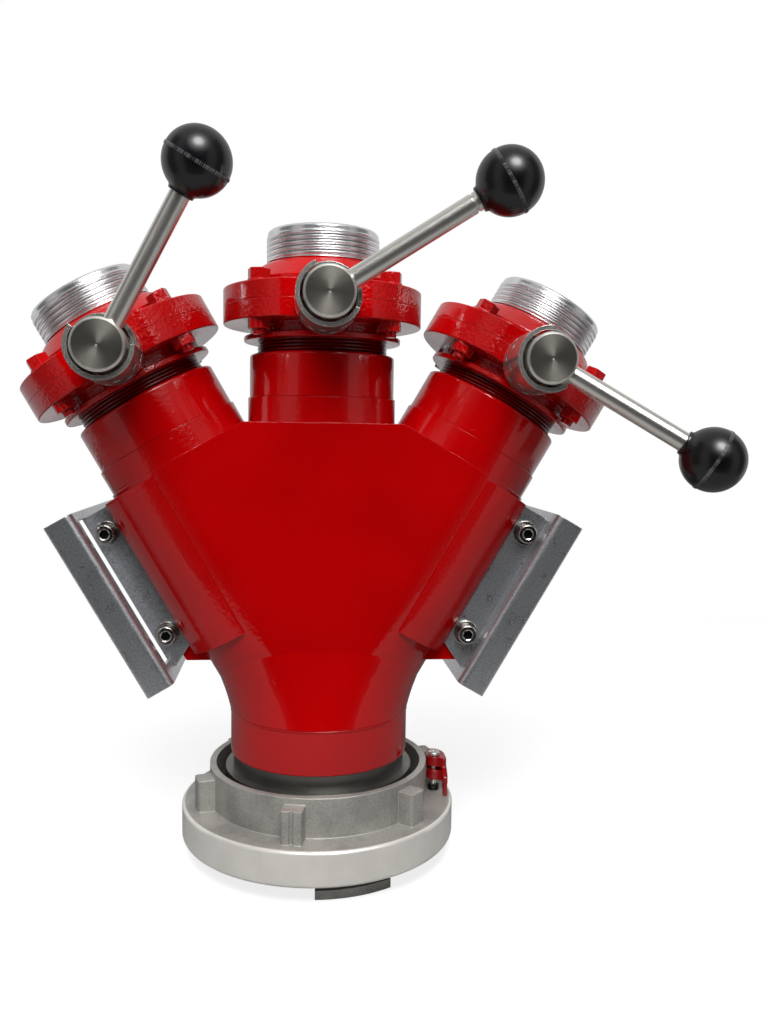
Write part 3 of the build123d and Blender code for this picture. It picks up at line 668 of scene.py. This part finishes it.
# Hexagonal prism with its corners turned off at the top
def hexagonPrism(acrossFlats, low, high, turnedOff=0.7, steps=3):
    corner = acrossFlats / math.sqrt(3)
    upward = 1 if high > low else -1
    rings = [(corner, low), (corner, high - upward * turnedOff)]
    for step in range(1, steps + 1):
        swing = math.pi / 2 * step / steps
        radius = corner - turnedOff * (1 - math.cos(swing))
        rings.append((radius, high - upward * turnedOff * (1 - math.sin(swing))))
    vertices, faces = [], []
    for radius, z in rings:
        for index in range(6):
            turn = math.pi / 3 * index
            vertices.append((radius * math.cos(turn), radius * math.sin(turn), z))
    for ring in range(len(rings) - 1):
        for index in range(6):
            a, b = ring * 6 + index, ring * 6 + (index + 1) % 6
            faces.append((a, b, b + 6, a + 6) if upward > 0 else (a, a + 6, b + 6, b))
    last = (len(rings) - 1) * 6
    top = [last + i for i in range(6)]
    faces.append(tuple(top if upward > 0 else reversed(top)))
    bottom = list(range(6))
    faces.append(tuple(reversed(bottom) if upward > 0 else bottom))
    return vertices, faces


valve = {
    "stemDrop": 3.0,
    "flange": 68.5, "thickness": 12.0, "flat": 62.3, "edge": 0.9,
    "waterway": 31.5, "seatPocket": 39.5, "pocketReach": 30.0, "cavity": 44.0,
    "upperShoulder": 52.4, "upperShoulderTop": 17.0, "coneRadius": 43.5, "coneTop": 27.0,
    "neck": 37.0, "neckTop": 31.0, "end": 52.0,
    "thread": 38.95, "pitch": 3.387, "depth": 1.9, "pilot": 4.6,
    "lowerShoulder": 50.0, "lowerShoulderEnd": 19.4, "lowerRing": 54.3, "lowerRingEnd": 23.0,
    "tail": 45.0, "tailPitch": 2.3, "tailDepth": 1.3, "tailEnd": 52.0,
    "boltCircle": 60.5, "bolt": 4.0, "boltEnd": 3.5, "collar": 7.6,
    "headWidth": 13.0, "headHeight": 8.0, "nutHeight": 6.5,
    "socket": 50.2, "socketBore": 45.1, "socketLow": -61.3, "socketHigh": -31.7,
}


def flattenFront(point):
    return (point[0], max(point[1], -valve["flat"]), point[2])


# Inner outline from the joint of the flanges outwards: ball cavity, seat pocket, waterway
def innerOutline(upward, end):
    points = []
    drop = valve["stemDrop"]
    meet = math.sqrt(valve["cavity"] ** 2 - valve["seatPocket"] ** 2)
    reach = meet - drop if upward else -meet - drop
    for step in range(7):
        z = reach * step / 6
        points.append((math.sqrt(valve["cavity"] ** 2 - (z + drop) ** 2), z, 0))
    pocket = valve["pocketReach"] - drop if upward else -valve["pocketReach"] - drop
    points.append((valve["seatPocket"], pocket, 0))
    points.append((valve["waterway"], pocket, 0))
    points.append((valve["waterway"], end, 0.6))
    return points


def makeUpperHalf(side, place):
    v = valve
    outer = [
        (v["flange"], 0, 0.25), (v["flange"], v["thickness"], v["edge"]),
        (v["upperShoulder"], v["thickness"], 1.6), (v["upperShoulder"], v["upperShoulderTop"], 1.8),
        (v["coneRadius"], v["coneTop"], 2.5), (v["neck"], v["neckTop"], 0.8),
        (v["neck"], v["neckTop"] + 1, 0),
    ]
    inner = innerOutline(True, v["end"])
    outline = roundOutline(outer + [(v["neck"] - 1, v["end"] - 2, 0)] + inner[::-1])
    body = lathe(outline, warp=flattenFront)
    meshPiece(side + "UpperHalf", *body, [redCasting], place, "manifold", "red_enamel",
              [side + "_valve_upper_half"])
    mouth = roundOutline([
        (v["waterway"], v["end"] - 8, 0), (v["waterway"], v["end"], 0.5),
        (v["thread"] - 1.9, v["end"], 0.4), (v["thread"] - 2.2, v["end"] - 1.0, 0),
    ], closed=False)
    thread = threadSurface(
        v["thread"], v["depth"], v["pitch"], v["neckTop"] - 0.6, v["end"] - 0.05, v["pilot"])
    meshPiece(side + "OutletThread", *joinParts(thread, lathe(mouth, closed=False)), [threadMetal],
              place, "manifold", "stainless", sharp=50.0)


def makeLowerHalf(side, place):
    v = valve
    outer = [
        (v["flange"], 0, 0.25), (v["flange"], -v["thickness"], v["edge"]),
        (v["lowerShoulder"], -v["thickness"], 1.6), (v["lowerShoulder"], -v["lowerShoulderEnd"], 1.0),
        (v["lowerRing"], -v["lowerShoulderEnd"], 0.8), (v["lowerRing"], -v["lowerRingEnd"], 0.8),
        (v["tail"] - v["tailDepth"], -v["lowerRingEnd"], 0.4),
        (v["tail"] - v["tailDepth"], -v["tailEnd"], 0),
    ]
    inner = innerOutline(False, -v["tailEnd"])
    outline = roundOutline(outer + inner[::-1])[::-1]
    meshPiece(side + "LowerHalf", *lathe(outline, warp=flattenFront), [redCasting], place, "manifold",
              "red_enamel", [side + "_valve_lower_half"])
    # The tail thread is shown in the darker red, which is painted shade
    thread = threadSurface(
        v["tail"], v["tailDepth"], v["tailPitch"], -v["tailEnd"], -v["lowerRingEnd"] + 0.2, 0.0)
    meshPiece(side + "TailThread", *thread, [shadedRedThread], place, "manifold", "red_enamel", sharp=50.0)


def makeSocket(side, place):
    v = valve
    outline = roundOutline([
        (v["socketBore"], v["socketLow"], 0.3), (v["socket"], v["socketLow"], 0.5),
        (v["socket"], v["socketHigh"], 2.0), (v["socketBore"], v["socketHigh"], 0.8),
    ])
    meshPiece(side + "OutletSocket", *lathe(outline), [redEnamel], place, "manifold", "red_enamel",
              [side + "_outlet_socket"])


def makeFasteners(side, place):
    v = valve
    headBase, nutBase = v["thickness"], -v["thickness"]
    head = hexagonPrism(v["headWidth"], headBase - 0.2, headBase + v["headHeight"])
    collar = lathe(roundOutline([
        (0.01, headBase - 0.2, 0), (v["collar"], headBase - 0.2, 0),
        (v["collar"], headBase + 0.9, 0.5), (0.01, headBase + 0.9, 0),
    ], closed=False), closed=False, segments=32)
    nut = hexagonPrism(v["headWidth"], nutBase + 0.2, nutBase - v["nutHeight"])
    end = nutBase - v["nutHeight"] - v["boltEnd"]
    shank = lathe(roundOutline([(0.01, end, 0), (v["bolt"], end, 0.9), (v["bolt"], headBase + 0.5, 0)],
                               closed=False)[::-1], closed=False, segments=32)
    bolts, nuts = [], []
    for index in range(4):
        turn = Matrix.Rotation(math.radians(45 + 90 * index), 4, "Z")
        spot = turn @ Matrix.Translation((v["boltCircle"], 0, 0))
        bolts += [movePart(head, spot), movePart(collar, spot), movePart(shank, spot)]
        nuts.append(movePart(nut, spot))
    meshPiece(side + "FlangeBolts", *joinParts(*bolts), [redCasting], place, "manifold", "red_enamel",
              [side + "_flange_bolts"])
    meshPiece(side + "FlangeNuts", *joinParts(*nuts), [redCasting], place, "manifold", "red_enamel",
              [side + "_flange_nuts"])


handle = {
    "hub": 15.7, "hubFace": 109.0, "hubBack": 66.0, "hubChamfer": 1.1, "dimple": 0.9, "stemBore": 6.05,
    "rod": 6.0, "rodReach": 96.0, "cant": 13.5, "rodStart": 7.0,
    "rodLength": {"left": 118.2, "centre": 121.5, "right": 115.0},
    "knob": 20.0, "knobBore": 13.0, "neck": 7.6, "neckReach": 20.0,
    "teeth": 96, "toothHeight": 0.6, "toothWidth": 1.7, "seamHeight": 0.4,
}


def makeHandle(side, place):
    h = handle
    body = side + "_handle"
    outward = place @ Matrix.Rotation(math.radians(90), 4, "X")
    face = h["hubFace"]
    rim = roundOutline([
        (h["stemBore"], h["hubBack"] + 18, 0), (h["stemBore"], h["hubBack"], 0.4),
        (h["hub"], h["hubBack"], 0.6),
        (h["hub"], face - h["hubChamfer"], 0.12), (h["hub"] - h["hubChamfer"], face, 0.12),
        (h["hub"] - h["hubChamfer"] - 0.5, face, 0),
    ], closed=False)
    disc = roundOutline([
        (h["hub"] - h["hubChamfer"] - 0.5, face, 0), (h["dimple"] + 0.3, face, 0),
        (h["dimple"], face - 0.15, 0), (0.02, face - 0.25, 0),
    ], closed=False)
    rimPart, discPart = lathe(rim, closed=False), lathe(disc, closed=False)
    hub = meshPiece(side + "HandleHub", *joinParts(rimPart, discPart), [stainless, turnedSteel],
                    outward, body, "stainless", [side + "_handle_hub"])
    for polygon in hub.data.polygons:
        if polygon.index >= len(rimPart[1]):
            polygon.material_index = 1

    rodPlace = place @ Matrix.Translation((0, -h["rodReach"] * mm, 0)) @ Matrix.Rotation(
        math.radians(h["cant"]), 4, "X")
    middle = h["rodLength"][side]
    base = middle - h["neckReach"]
    rodTop = middle - h["knob"] + h["knobBore"]
    rod = [(0.02, h["rodStart"], 0), (h["rod"], h["rodStart"], 0.4)]
    if side == "centre":  # a groove below the knob, on this rod alone
        low = base - 3.6
        rod += [
            (h["rod"], low, 0.2), (h["rod"] - 0.7, low + 0.5, 0.2),
            (h["rod"] - 0.7, low + 1.1, 0.2), (h["rod"] - 0.1, low + 1.6, 0.2),
        ]
    rod += [(h["rod"], rodTop, 0.3), (0.02, rodTop, 0)]
    meshPiece(side + "HandleRod", *lathe(roundOutline(rod, closed=False), closed=False, segments=64),
              [stainless], rodPlace, body, "stainless", [side + "_handle_rod"])

    hole = h["rod"] + 0.05
    knob = [(hole, base + 3, 0), (hole, base, 0.3), (h["neck"], base, 0.8), (h["neck"] + 0.1, base + 1.4, 0)]
    radius = h["knob"] - h["seamHeight"]
    start = math.asin((h["neck"] + 0.9) / radius)
    steps = 48
    for step in range(steps + 1):
        swing = start + (math.pi - start) * step / steps
        knob.append((max(0.02, radius * math.sin(swing)), middle - radius * math.cos(swing), 0))
    meshPiece(side + "BallKnob", *lathe(roundOutline(knob, closed=False), closed=False, segments=128),
              [blackKnob], rodPlace, body, "black_knob", [side + "_ball_knob"])

    # moulding seam round the knob, cut into short teeth; its lighter grey is a painted glint
    half = h["toothWidth"] / 2
    crown = h["knob"] - 0.02
    band = [(radius - 0.1, middle - half - 0.3), (crown, middle - half), (crown, middle - 0.1),
            (crown, middle + half), (radius - 0.1, middle + half + 0.3)]
    perTooth = 4

    def tooth(point):
        turn = math.atan2(point[1], point[0]) * h["teeth"] / (2 * math.pi)
        high = (turn % 1.0) < 0.5
        grow = 1.0 if high or abs(point[2] - middle) > half else 1 - h["toothHeight"] / h["knob"]
        return (point[0] * grow, point[1] * grow, point[2])

    seam = lathe(band, closed=False, segments=h["teeth"] * perTooth, warp=tooth)
    meshPiece(side + "KnobSeam", *seam, [knobSeamWithGlint], rodPlace, body, "black_knob", sharp=30.0)


for side in sideNames:
    place = valveFrame(side)
    makeUpperHalf(side, place)
    makeLowerHalf(side, place)
    makeSocket(side, place)
    makeFasteners(side, place)
    makeHandle(side, handleFrame(side))
print("valves made")


inlet = {"radius": 62.8, "bore": 57.0, "low": 71.5, "high": 102.2}
ringOutline = roundOutline([
    (inlet["bore"], inlet["low"], 0.3), (inlet["radius"], inlet["low"], 0.9),
    (inlet["radius"], inlet["high"] - 1.7, 0.2), (inlet["radius"] + 0.4, inlet["high"] - 1.1, 0.4),
    (inlet["radius"] + 0.4, inlet["high"] - 0.3, 0.4), (inlet["radius"] - 0.5, inlet["high"], 0.2),
    (inlet["bore"], inlet["high"], 0),
])
meshPiece("inletRing", *lathe(ringOutline), [redEnamel], Matrix.Identity(4), "manifold", "red_enamel",
          ["inlet_ring"])
print("inlet ring made")


bracketSpot = {
    "pivotHeight": 107.8, "places": (95.5, 176.0), "thickness": 1.6,
    "left": {"reach": 67.0, "front": 12.0}, "right": {"reach": 60.4, "front": 30.0},
}
socketScrew = {
    "head": 6.5, "height": 8.0, "shank": 4.0, "length": 16.0, "key": 6.0, "keyDepth": 4.0, "rim": 0.9,
}
washer = {"outer": 8.5, "inner": 4.25, "edge": 0.5}
screwSegments = 72


# Turns the points of the key hole from a circle into a hexagon
def keyHole(point):
    corner = socketScrew["key"] / math.sqrt(3)
    if math.hypot(point[0], point[1]) > corner + 0.01:
        return point
    turn = math.atan2(point[1], point[0]) % (math.pi / 3) - math.pi / 6
    shrink = math.cos(math.pi / 6) / math.cos(turn)
    return (point[0] * shrink, point[1] * shrink, point[2])


# Indices of a screw's faces that line its key hole, which take the near-black wire finish as painted shade
def keyShadeFaces(outline, corner):
    strips = len(outline) - 1
    keyShadeLining = {i for i in range(strips) if outline[i][0] <= corner + 0.01 and outline[i][1] > 0}
    return {step * strips + i for step in range(screwSegments) for i in keyShadeLining}


def makeBracketScrews(side):
    s, spot = socketScrew, bracketSpot[side]
    sign = 1 if side == "right" else -1
    along = Vector(mounts[side + "_outlet_thread"]["axis"]).normalized()
    across = Vector((along.z, 0, -along.x))
    corner = s["key"] / math.sqrt(3)
    screwOutline = roundOutline([
        (0.02, s["height"] - s["keyDepth"], 0), (corner, s["height"] - s["keyDepth"], 0),
        (corner, s["height"] - 0.3, 0), (corner + 0.35, s["height"], 0.1),
        (s["head"], s["height"], s["rim"]), (s["head"], 0, 0.3), (s["shank"], 0, 0.2),
        (s["shank"], -s["length"], 0.6), (0.02, -s["length"], 0),
    ], closed=False)[::-1]
    washerOutline = roundOutline([
        (washer["inner"], -bracketSpot["thickness"], 0.2),
        (washer["outer"], -bracketSpot["thickness"], 0.2),
        (washer["outer"], 0, washer["edge"]), (washer["inner"], 0, washer["edge"]),
    ])
    screws, washers = [], []
    for distance in bracketSpot["places"]:
        centre = across * sign * spot["reach"] + along * distance
        centre.y = -spot["front"] - bracketSpot["thickness"]
        centre.z += bracketSpot["pivotHeight"]
        place = Matrix.Translation(centre) @ Matrix.Rotation(math.pi / 2, 4, "X")
        turned = place @ Matrix.Rotation(distance, 4, "Z")
        screw = lathe(screwOutline, closed=False, segments=screwSegments, warp=keyHole)
        screws.append(movePart(screw, turned))
        washers.append(movePart(lathe(washerOutline, segments=screwSegments), place))
    bolts = meshPiece(side + "BracketScrews", *joinParts(*screws), [washerMetal, springWire],
                      Matrix.Identity(4), "manifold", "stainless", [side + "_bracket_screws"])
    # The key hole lining takes the near-black wire finish: painted shade in the recess
    keyShadeLining = keyShadeFaces(screwOutline, corner)
    for polygon in bolts.data.polygons:
        polygon.material_index = 1 if polygon.index % len(screws[0][1]) in keyShadeLining else 0
    meshPiece(side + "BracketWashers", *joinParts(*washers), [washerMetal],
              Matrix.Identity(4), "manifold", "stainless", [side + "_bracket_washers"])


makeBracketScrews("left")
makeBracketScrews("right")
print("bracket screws made")


# Prism over an outline; slope lowers the top towards the front
def prism(outline, low, high, slope=None):
    count = len(outline)
    vertices = [(x, y, low) for x, y in outline]
    vertices += [(x, y, slope(y) if slope else high) for x, y in outline]
    faces = [tuple(reversed(range(count))), tuple(range(count, 2 * count))]
    for index in range(count):
        following = (index + 1) % count
        faces.append((index, following, following + count, index + count))
    return vertices, faces


# Smooth closed curve through corner points, each side cut twice
def smoothOutline(points, rounds=2):
    for _ in range(rounds):
        cut = []
        for index, here in enumerate(points):
            there = points[(index + 1) % len(points)]
            cut.append(tuple(0.75 * a + 0.25 * b for a, b in zip(here, there)))
            cut.append(tuple(0.25 * a + 0.75 * b for a, b in zip(here, there)))
        points = cut
    return points


# Round wire along points
def wire(points, radius, sides=10):
    vertices, faces = [], []
    for index, point in enumerate(points):
        here = Vector(point)
        ahead = Vector(points[min(index + 1, len(points) - 1)]) - Vector(points[max(index - 1, 0)])
        first = ahead.normalized().orthogonal().normalized() if index == 0 else first
        first = (first - ahead.normalized() * first.dot(ahead.normalized())).normalized()
        second = ahead.normalized().cross(first)
        for step in range(sides):
            turn = 2 * math.pi * step / sides
            vertices.append(tuple(here + radius * (math.cos(turn) * first + math.sin(turn) * second)))
    for index in range(len(points) - 1):
        for step in range(sides):
            a, b = index * sides + step, index * sides + (step + 1) % sides
            faces.append((a, b, b + sides, a + sides))
    faces.append(tuple(reversed(range(sides))))
    faces.append(tuple(range(len(vertices) - sides, len(vertices))))
    return vertices, faces


lock = {
    "pivot": 84.5, "ringTop": 36.5, "low": 36.9, "high": 62.4,
    "plate": 7.0, "lowerPlate": 45.4, "edge": 0.7,
    "springRadius": 3.6, "springHeight": 4.8, "wireRadius": 0.55, "springTurns": 4.0,
}


# Locking lever: two plates over and under the spring, an outer web and a finger down to the ring
def makeLock():
    place = Matrix.Translation((lock["pivot"] * mm, 0, 0))
    plate = smoothOutline([
        (-5.5, 3.0), (-5.6, -2.5), (-2.5, -5.6), (2.5, -5.8), (5.0, -8.6), (8.3, -8.6),
        (8.3, -1.0), (8.3, 6.0), (5.5, 12.0), (1.5, 14.4), (-3.6, 13.4),
    ])
    under = [(x * 0.94, y * 0.94) for x, y in plate]
    top, base = lock["high"], lock["lowerPlate"]

    def fingerTop(y):
        return top - 0.4 - max(0.0, -3.5 - y) * 1.0

    finger = [(4.7, -14.2), (5.4, -15.0), (7.6, -15.0), (8.25, -14.0), (8.25, -2.0), (4.9, -2.0)]
    tip = [(4.9, -14.2), (5.5, -14.9), (7.5, -14.9), (8.1, -14.0), (8.0, -9.6), (5.0, -9.6)]
    web = [(4.8, -5.0), (8.2, -5.0), (8.2, 5.5), (4.4, 12.0), (1.8, 10.0), (4.6, 4.0)]
    parts = joinParts(
        prism(plate, top - lock["plate"], top), prism(under, base, base + lock["plate"]),
        prism(web, base + 0.3, top - 0.3), prism(finger, base, top, fingerTop),
        prism(tip, lock["low"], base + 1))
    lever = meshPiece("lockLever", *parts, [leverEnamel], place, "lever", "red_enamel", ["lock_lever"])
    bevel = lever.modifiers.new("Rounded edges", "BEVEL")
    bevel.width = lock["edge"] * mm
    bevel.segments = 2
    bevel.limit_method = "ANGLE"
    lever.modifiers.move(1, 0)

    coil = []
    steps = 96
    for step in range(steps + 1):
        turn = 2 * math.pi * lock["springTurns"] * step / steps
        rise = step / steps * (lock["springHeight"] - 2 * lock["wireRadius"])
        height = lock["ringTop"] + lock["wireRadius"] + rise
        radius = lock["springRadius"]
        coil.append((radius * math.cos(turn), radius * math.sin(turn), height))
    meshPiece("lockSpring", *wire(coil, lock["wireRadius"]), [springWire], place, "coupling_ring",
              "spring_wire", ["lock_spring"])


makeLock()
print("lock made")


# Finishes a piece that is shown as the frame brings it
def dress(nodeName, material, sharp=28.0):
    piece = nodes[nodeName]
    piece.data.materials.clear()
    piece.data.materials.append(material)
    for polygon in piece.data.polygons:
        polygon.use_smooth = True
    piece.data.set_sharp_from_angle(angle=math.radians(sharp))


slotOf = {entry["node"]: entry["material_slot"] for entry in record["subparts"]}
finishes = {
    "red_enamel": redEnamel, "cast_alloy": castPlain, "stainless": polished,
    "bracket_sheet": sheetMetal, "black_knob": blackKnob, "valve_seat": whitePlastic,
    "bush_bronze": bronze, "gasket_rubber": rubber, "spring_wire": springWire,
}
# The shank and retainer take the dark steel, which is partly painted shade
special = {"swivel_ring": castRing, "manifold_body": redEnamel, "coupling_shank": machinedAndShaded,
           "swivel_retainer": machinedAndShaded}
for name, piece in nodes.items():
    if not piece.hide_render:
        material = special.get(name, finishes[slotOf[name]])
        dress(name, material)
print("finishes given")


studio = {
    "floorSize": 1.6, "floorFront": 0.42, "floorGlow": 0.8,
    "floorCatch": 0.36, "floorBounce": 0.4, "floorMirror": 0.3,
    "fill": 0.28, "ambient": 0.1, "panel": 0.36, "back": 0.6, "top": 0.5,
    "lamp": 15.0, "lampDirection": (0.13, -0.66, 0.74),
    "keyPower": 13.6, "keySize": (0.6, 0.6), "keyPosition": (-0.12, -0.66, 1.0),
    "topPower": 5.0, "topSize": (0.5, 0.35), "topPosition": (0.25, -0.5, 1.4),
    "middle": (0, 0, 0.24),
}


def grey(value):
    return (value, value, value, 1)


def makeFloor():
    half, front = studio["floorSize"] / 2, studio["floorFront"]
    mesh = bpy.data.meshes.new("floor")
    corners = [(-half, -front, 0), (half, -front, 0), (half, half, 0), (-half, half, 0)]
    mesh.from_pydata(corners, [], [(0, 1, 2, 3)])
    made = newObject("floor", mesh)
    material = bpy.data.materials.new("Studio floor")
    material.use_nodes = True
    tree = material.node_tree
    tree.nodes.remove(tree.nodes["Principled BSDF"])
    path = tree.nodes.new("ShaderNodeLightPath")
    camera = path.outputs["Is Camera Ray"]
    glossy = path.outputs["Is Glossy Ray"]
    tone = mixColour(tree, glossy, grey(studio["floorBounce"]), grey(studio["floorMirror"]))
    tone = mixColour(tree, camera, tone, grey(studio["floorCatch"]))
    diffuse = addNode(tree, "ShaderNodeBsdfDiffuse", None, {"Color": tone})
    glow = addNode(tree, "ShaderNodeEmission", None, {
        "Strength": calc(tree, "MULTIPLY", camera, studio["floorGlow"])})
    both = addNode(tree, "ShaderNodeAddShader", None, {0: diffuse.outputs[0], 1: glow.outputs[0]})
    feed(tree, tree.nodes["Material Output"], {"Surface": both.outputs[0]})
    mesh.materials.append(material)


def makeWorld():
    world = bpy.data.worlds.new("Studio")
    bpy.context.scene.world = world
    world.use_nodes = True
    tree = world.node_tree
    path = tree.nodes.new("ShaderNodeLightPath")
    direction = tree.nodes.new("ShaderNodeTexCoord").outputs["Generated"]
    surround = useGroup(tree, studioSurround, {
        "Direction": direction, "Ambient light": studio["ambient"], "Panel light": studio["panel"],
        "Back light": studio["back"], "Top light": studio["top"], "Lamp light": studio["lamp"],
        "Lamp direction": Vector(studio["lampDirection"]).normalized()})
    glossy = mixValue(tree, path.outputs["Is Glossy Ray"], studio["fill"], surround.outputs["Light"])
    strength = mixValue(tree, path.outputs["Is Camera Ray"], glossy, 1.0)
    feed(tree, tree.nodes["Background"], {"Color": grey(1), "Strength": strength})


# Soft light that shows in no reflection
def makeAreaLight(name, position, size, power):
    light = bpy.data.lights.new(name, "AREA")
    light.shape = "RECTANGLE"
    light.size, light.size_y = size
    light.energy = power
    made = newObject(name, light)
    made.location = position
    towards = Vector(studio["middle"]) - Vector(position)
    made.rotation_euler = towards.to_track_quat("-Z", "Y").to_euler()
    made.visible_camera = False
    made.visible_glossy = False


camera = {
    "position": (-0.02006, -0.63908, 0.2941), "yaw": 5.814, "pitch": -4.683, "roll": 0.847,
    "lens": 31.66, "sensor": 36.0,
}


def makeCamera():
    yaw, pitch, roll = (math.radians(camera[k]) for k in ("yaw", "pitch", "roll"))
    level = math.cos(pitch)
    forward = Vector((math.sin(yaw) * level, math.cos(yaw) * level, math.sin(pitch)))
    right = Vector((math.cos(yaw), -math.sin(yaw), 0))
    up = right.cross(forward)
    turnedRight = math.cos(roll) * right + math.sin(roll) * up
    turnedUp = math.cos(roll) * up - math.sin(roll) * right
    data = bpy.data.cameras.new("camera")
    data.lens = camera["lens"]
    data.sensor_width = camera["sensor"]
    data.clip_start = 0.01
    made = newObject("camera", data)
    place = Matrix((turnedRight, turnedUp, -forward)).transposed().to_4x4()
    place.translation = Vector(camera["position"])
    made.matrix_world = place
    bpy.context.scene.camera = made


makeFloor()
makeWorld()
makeAreaLight("key", studio["keyPosition"], studio["keySize"], studio["keyPower"])
makeAreaLight("overhead", studio["topPosition"], studio["topSize"], studio["topPower"])
makeCamera()
scene = bpy.context.scene
scene.view_settings.view_transform = "Standard"
scene.view_settings.look = "None"
print("studio made")
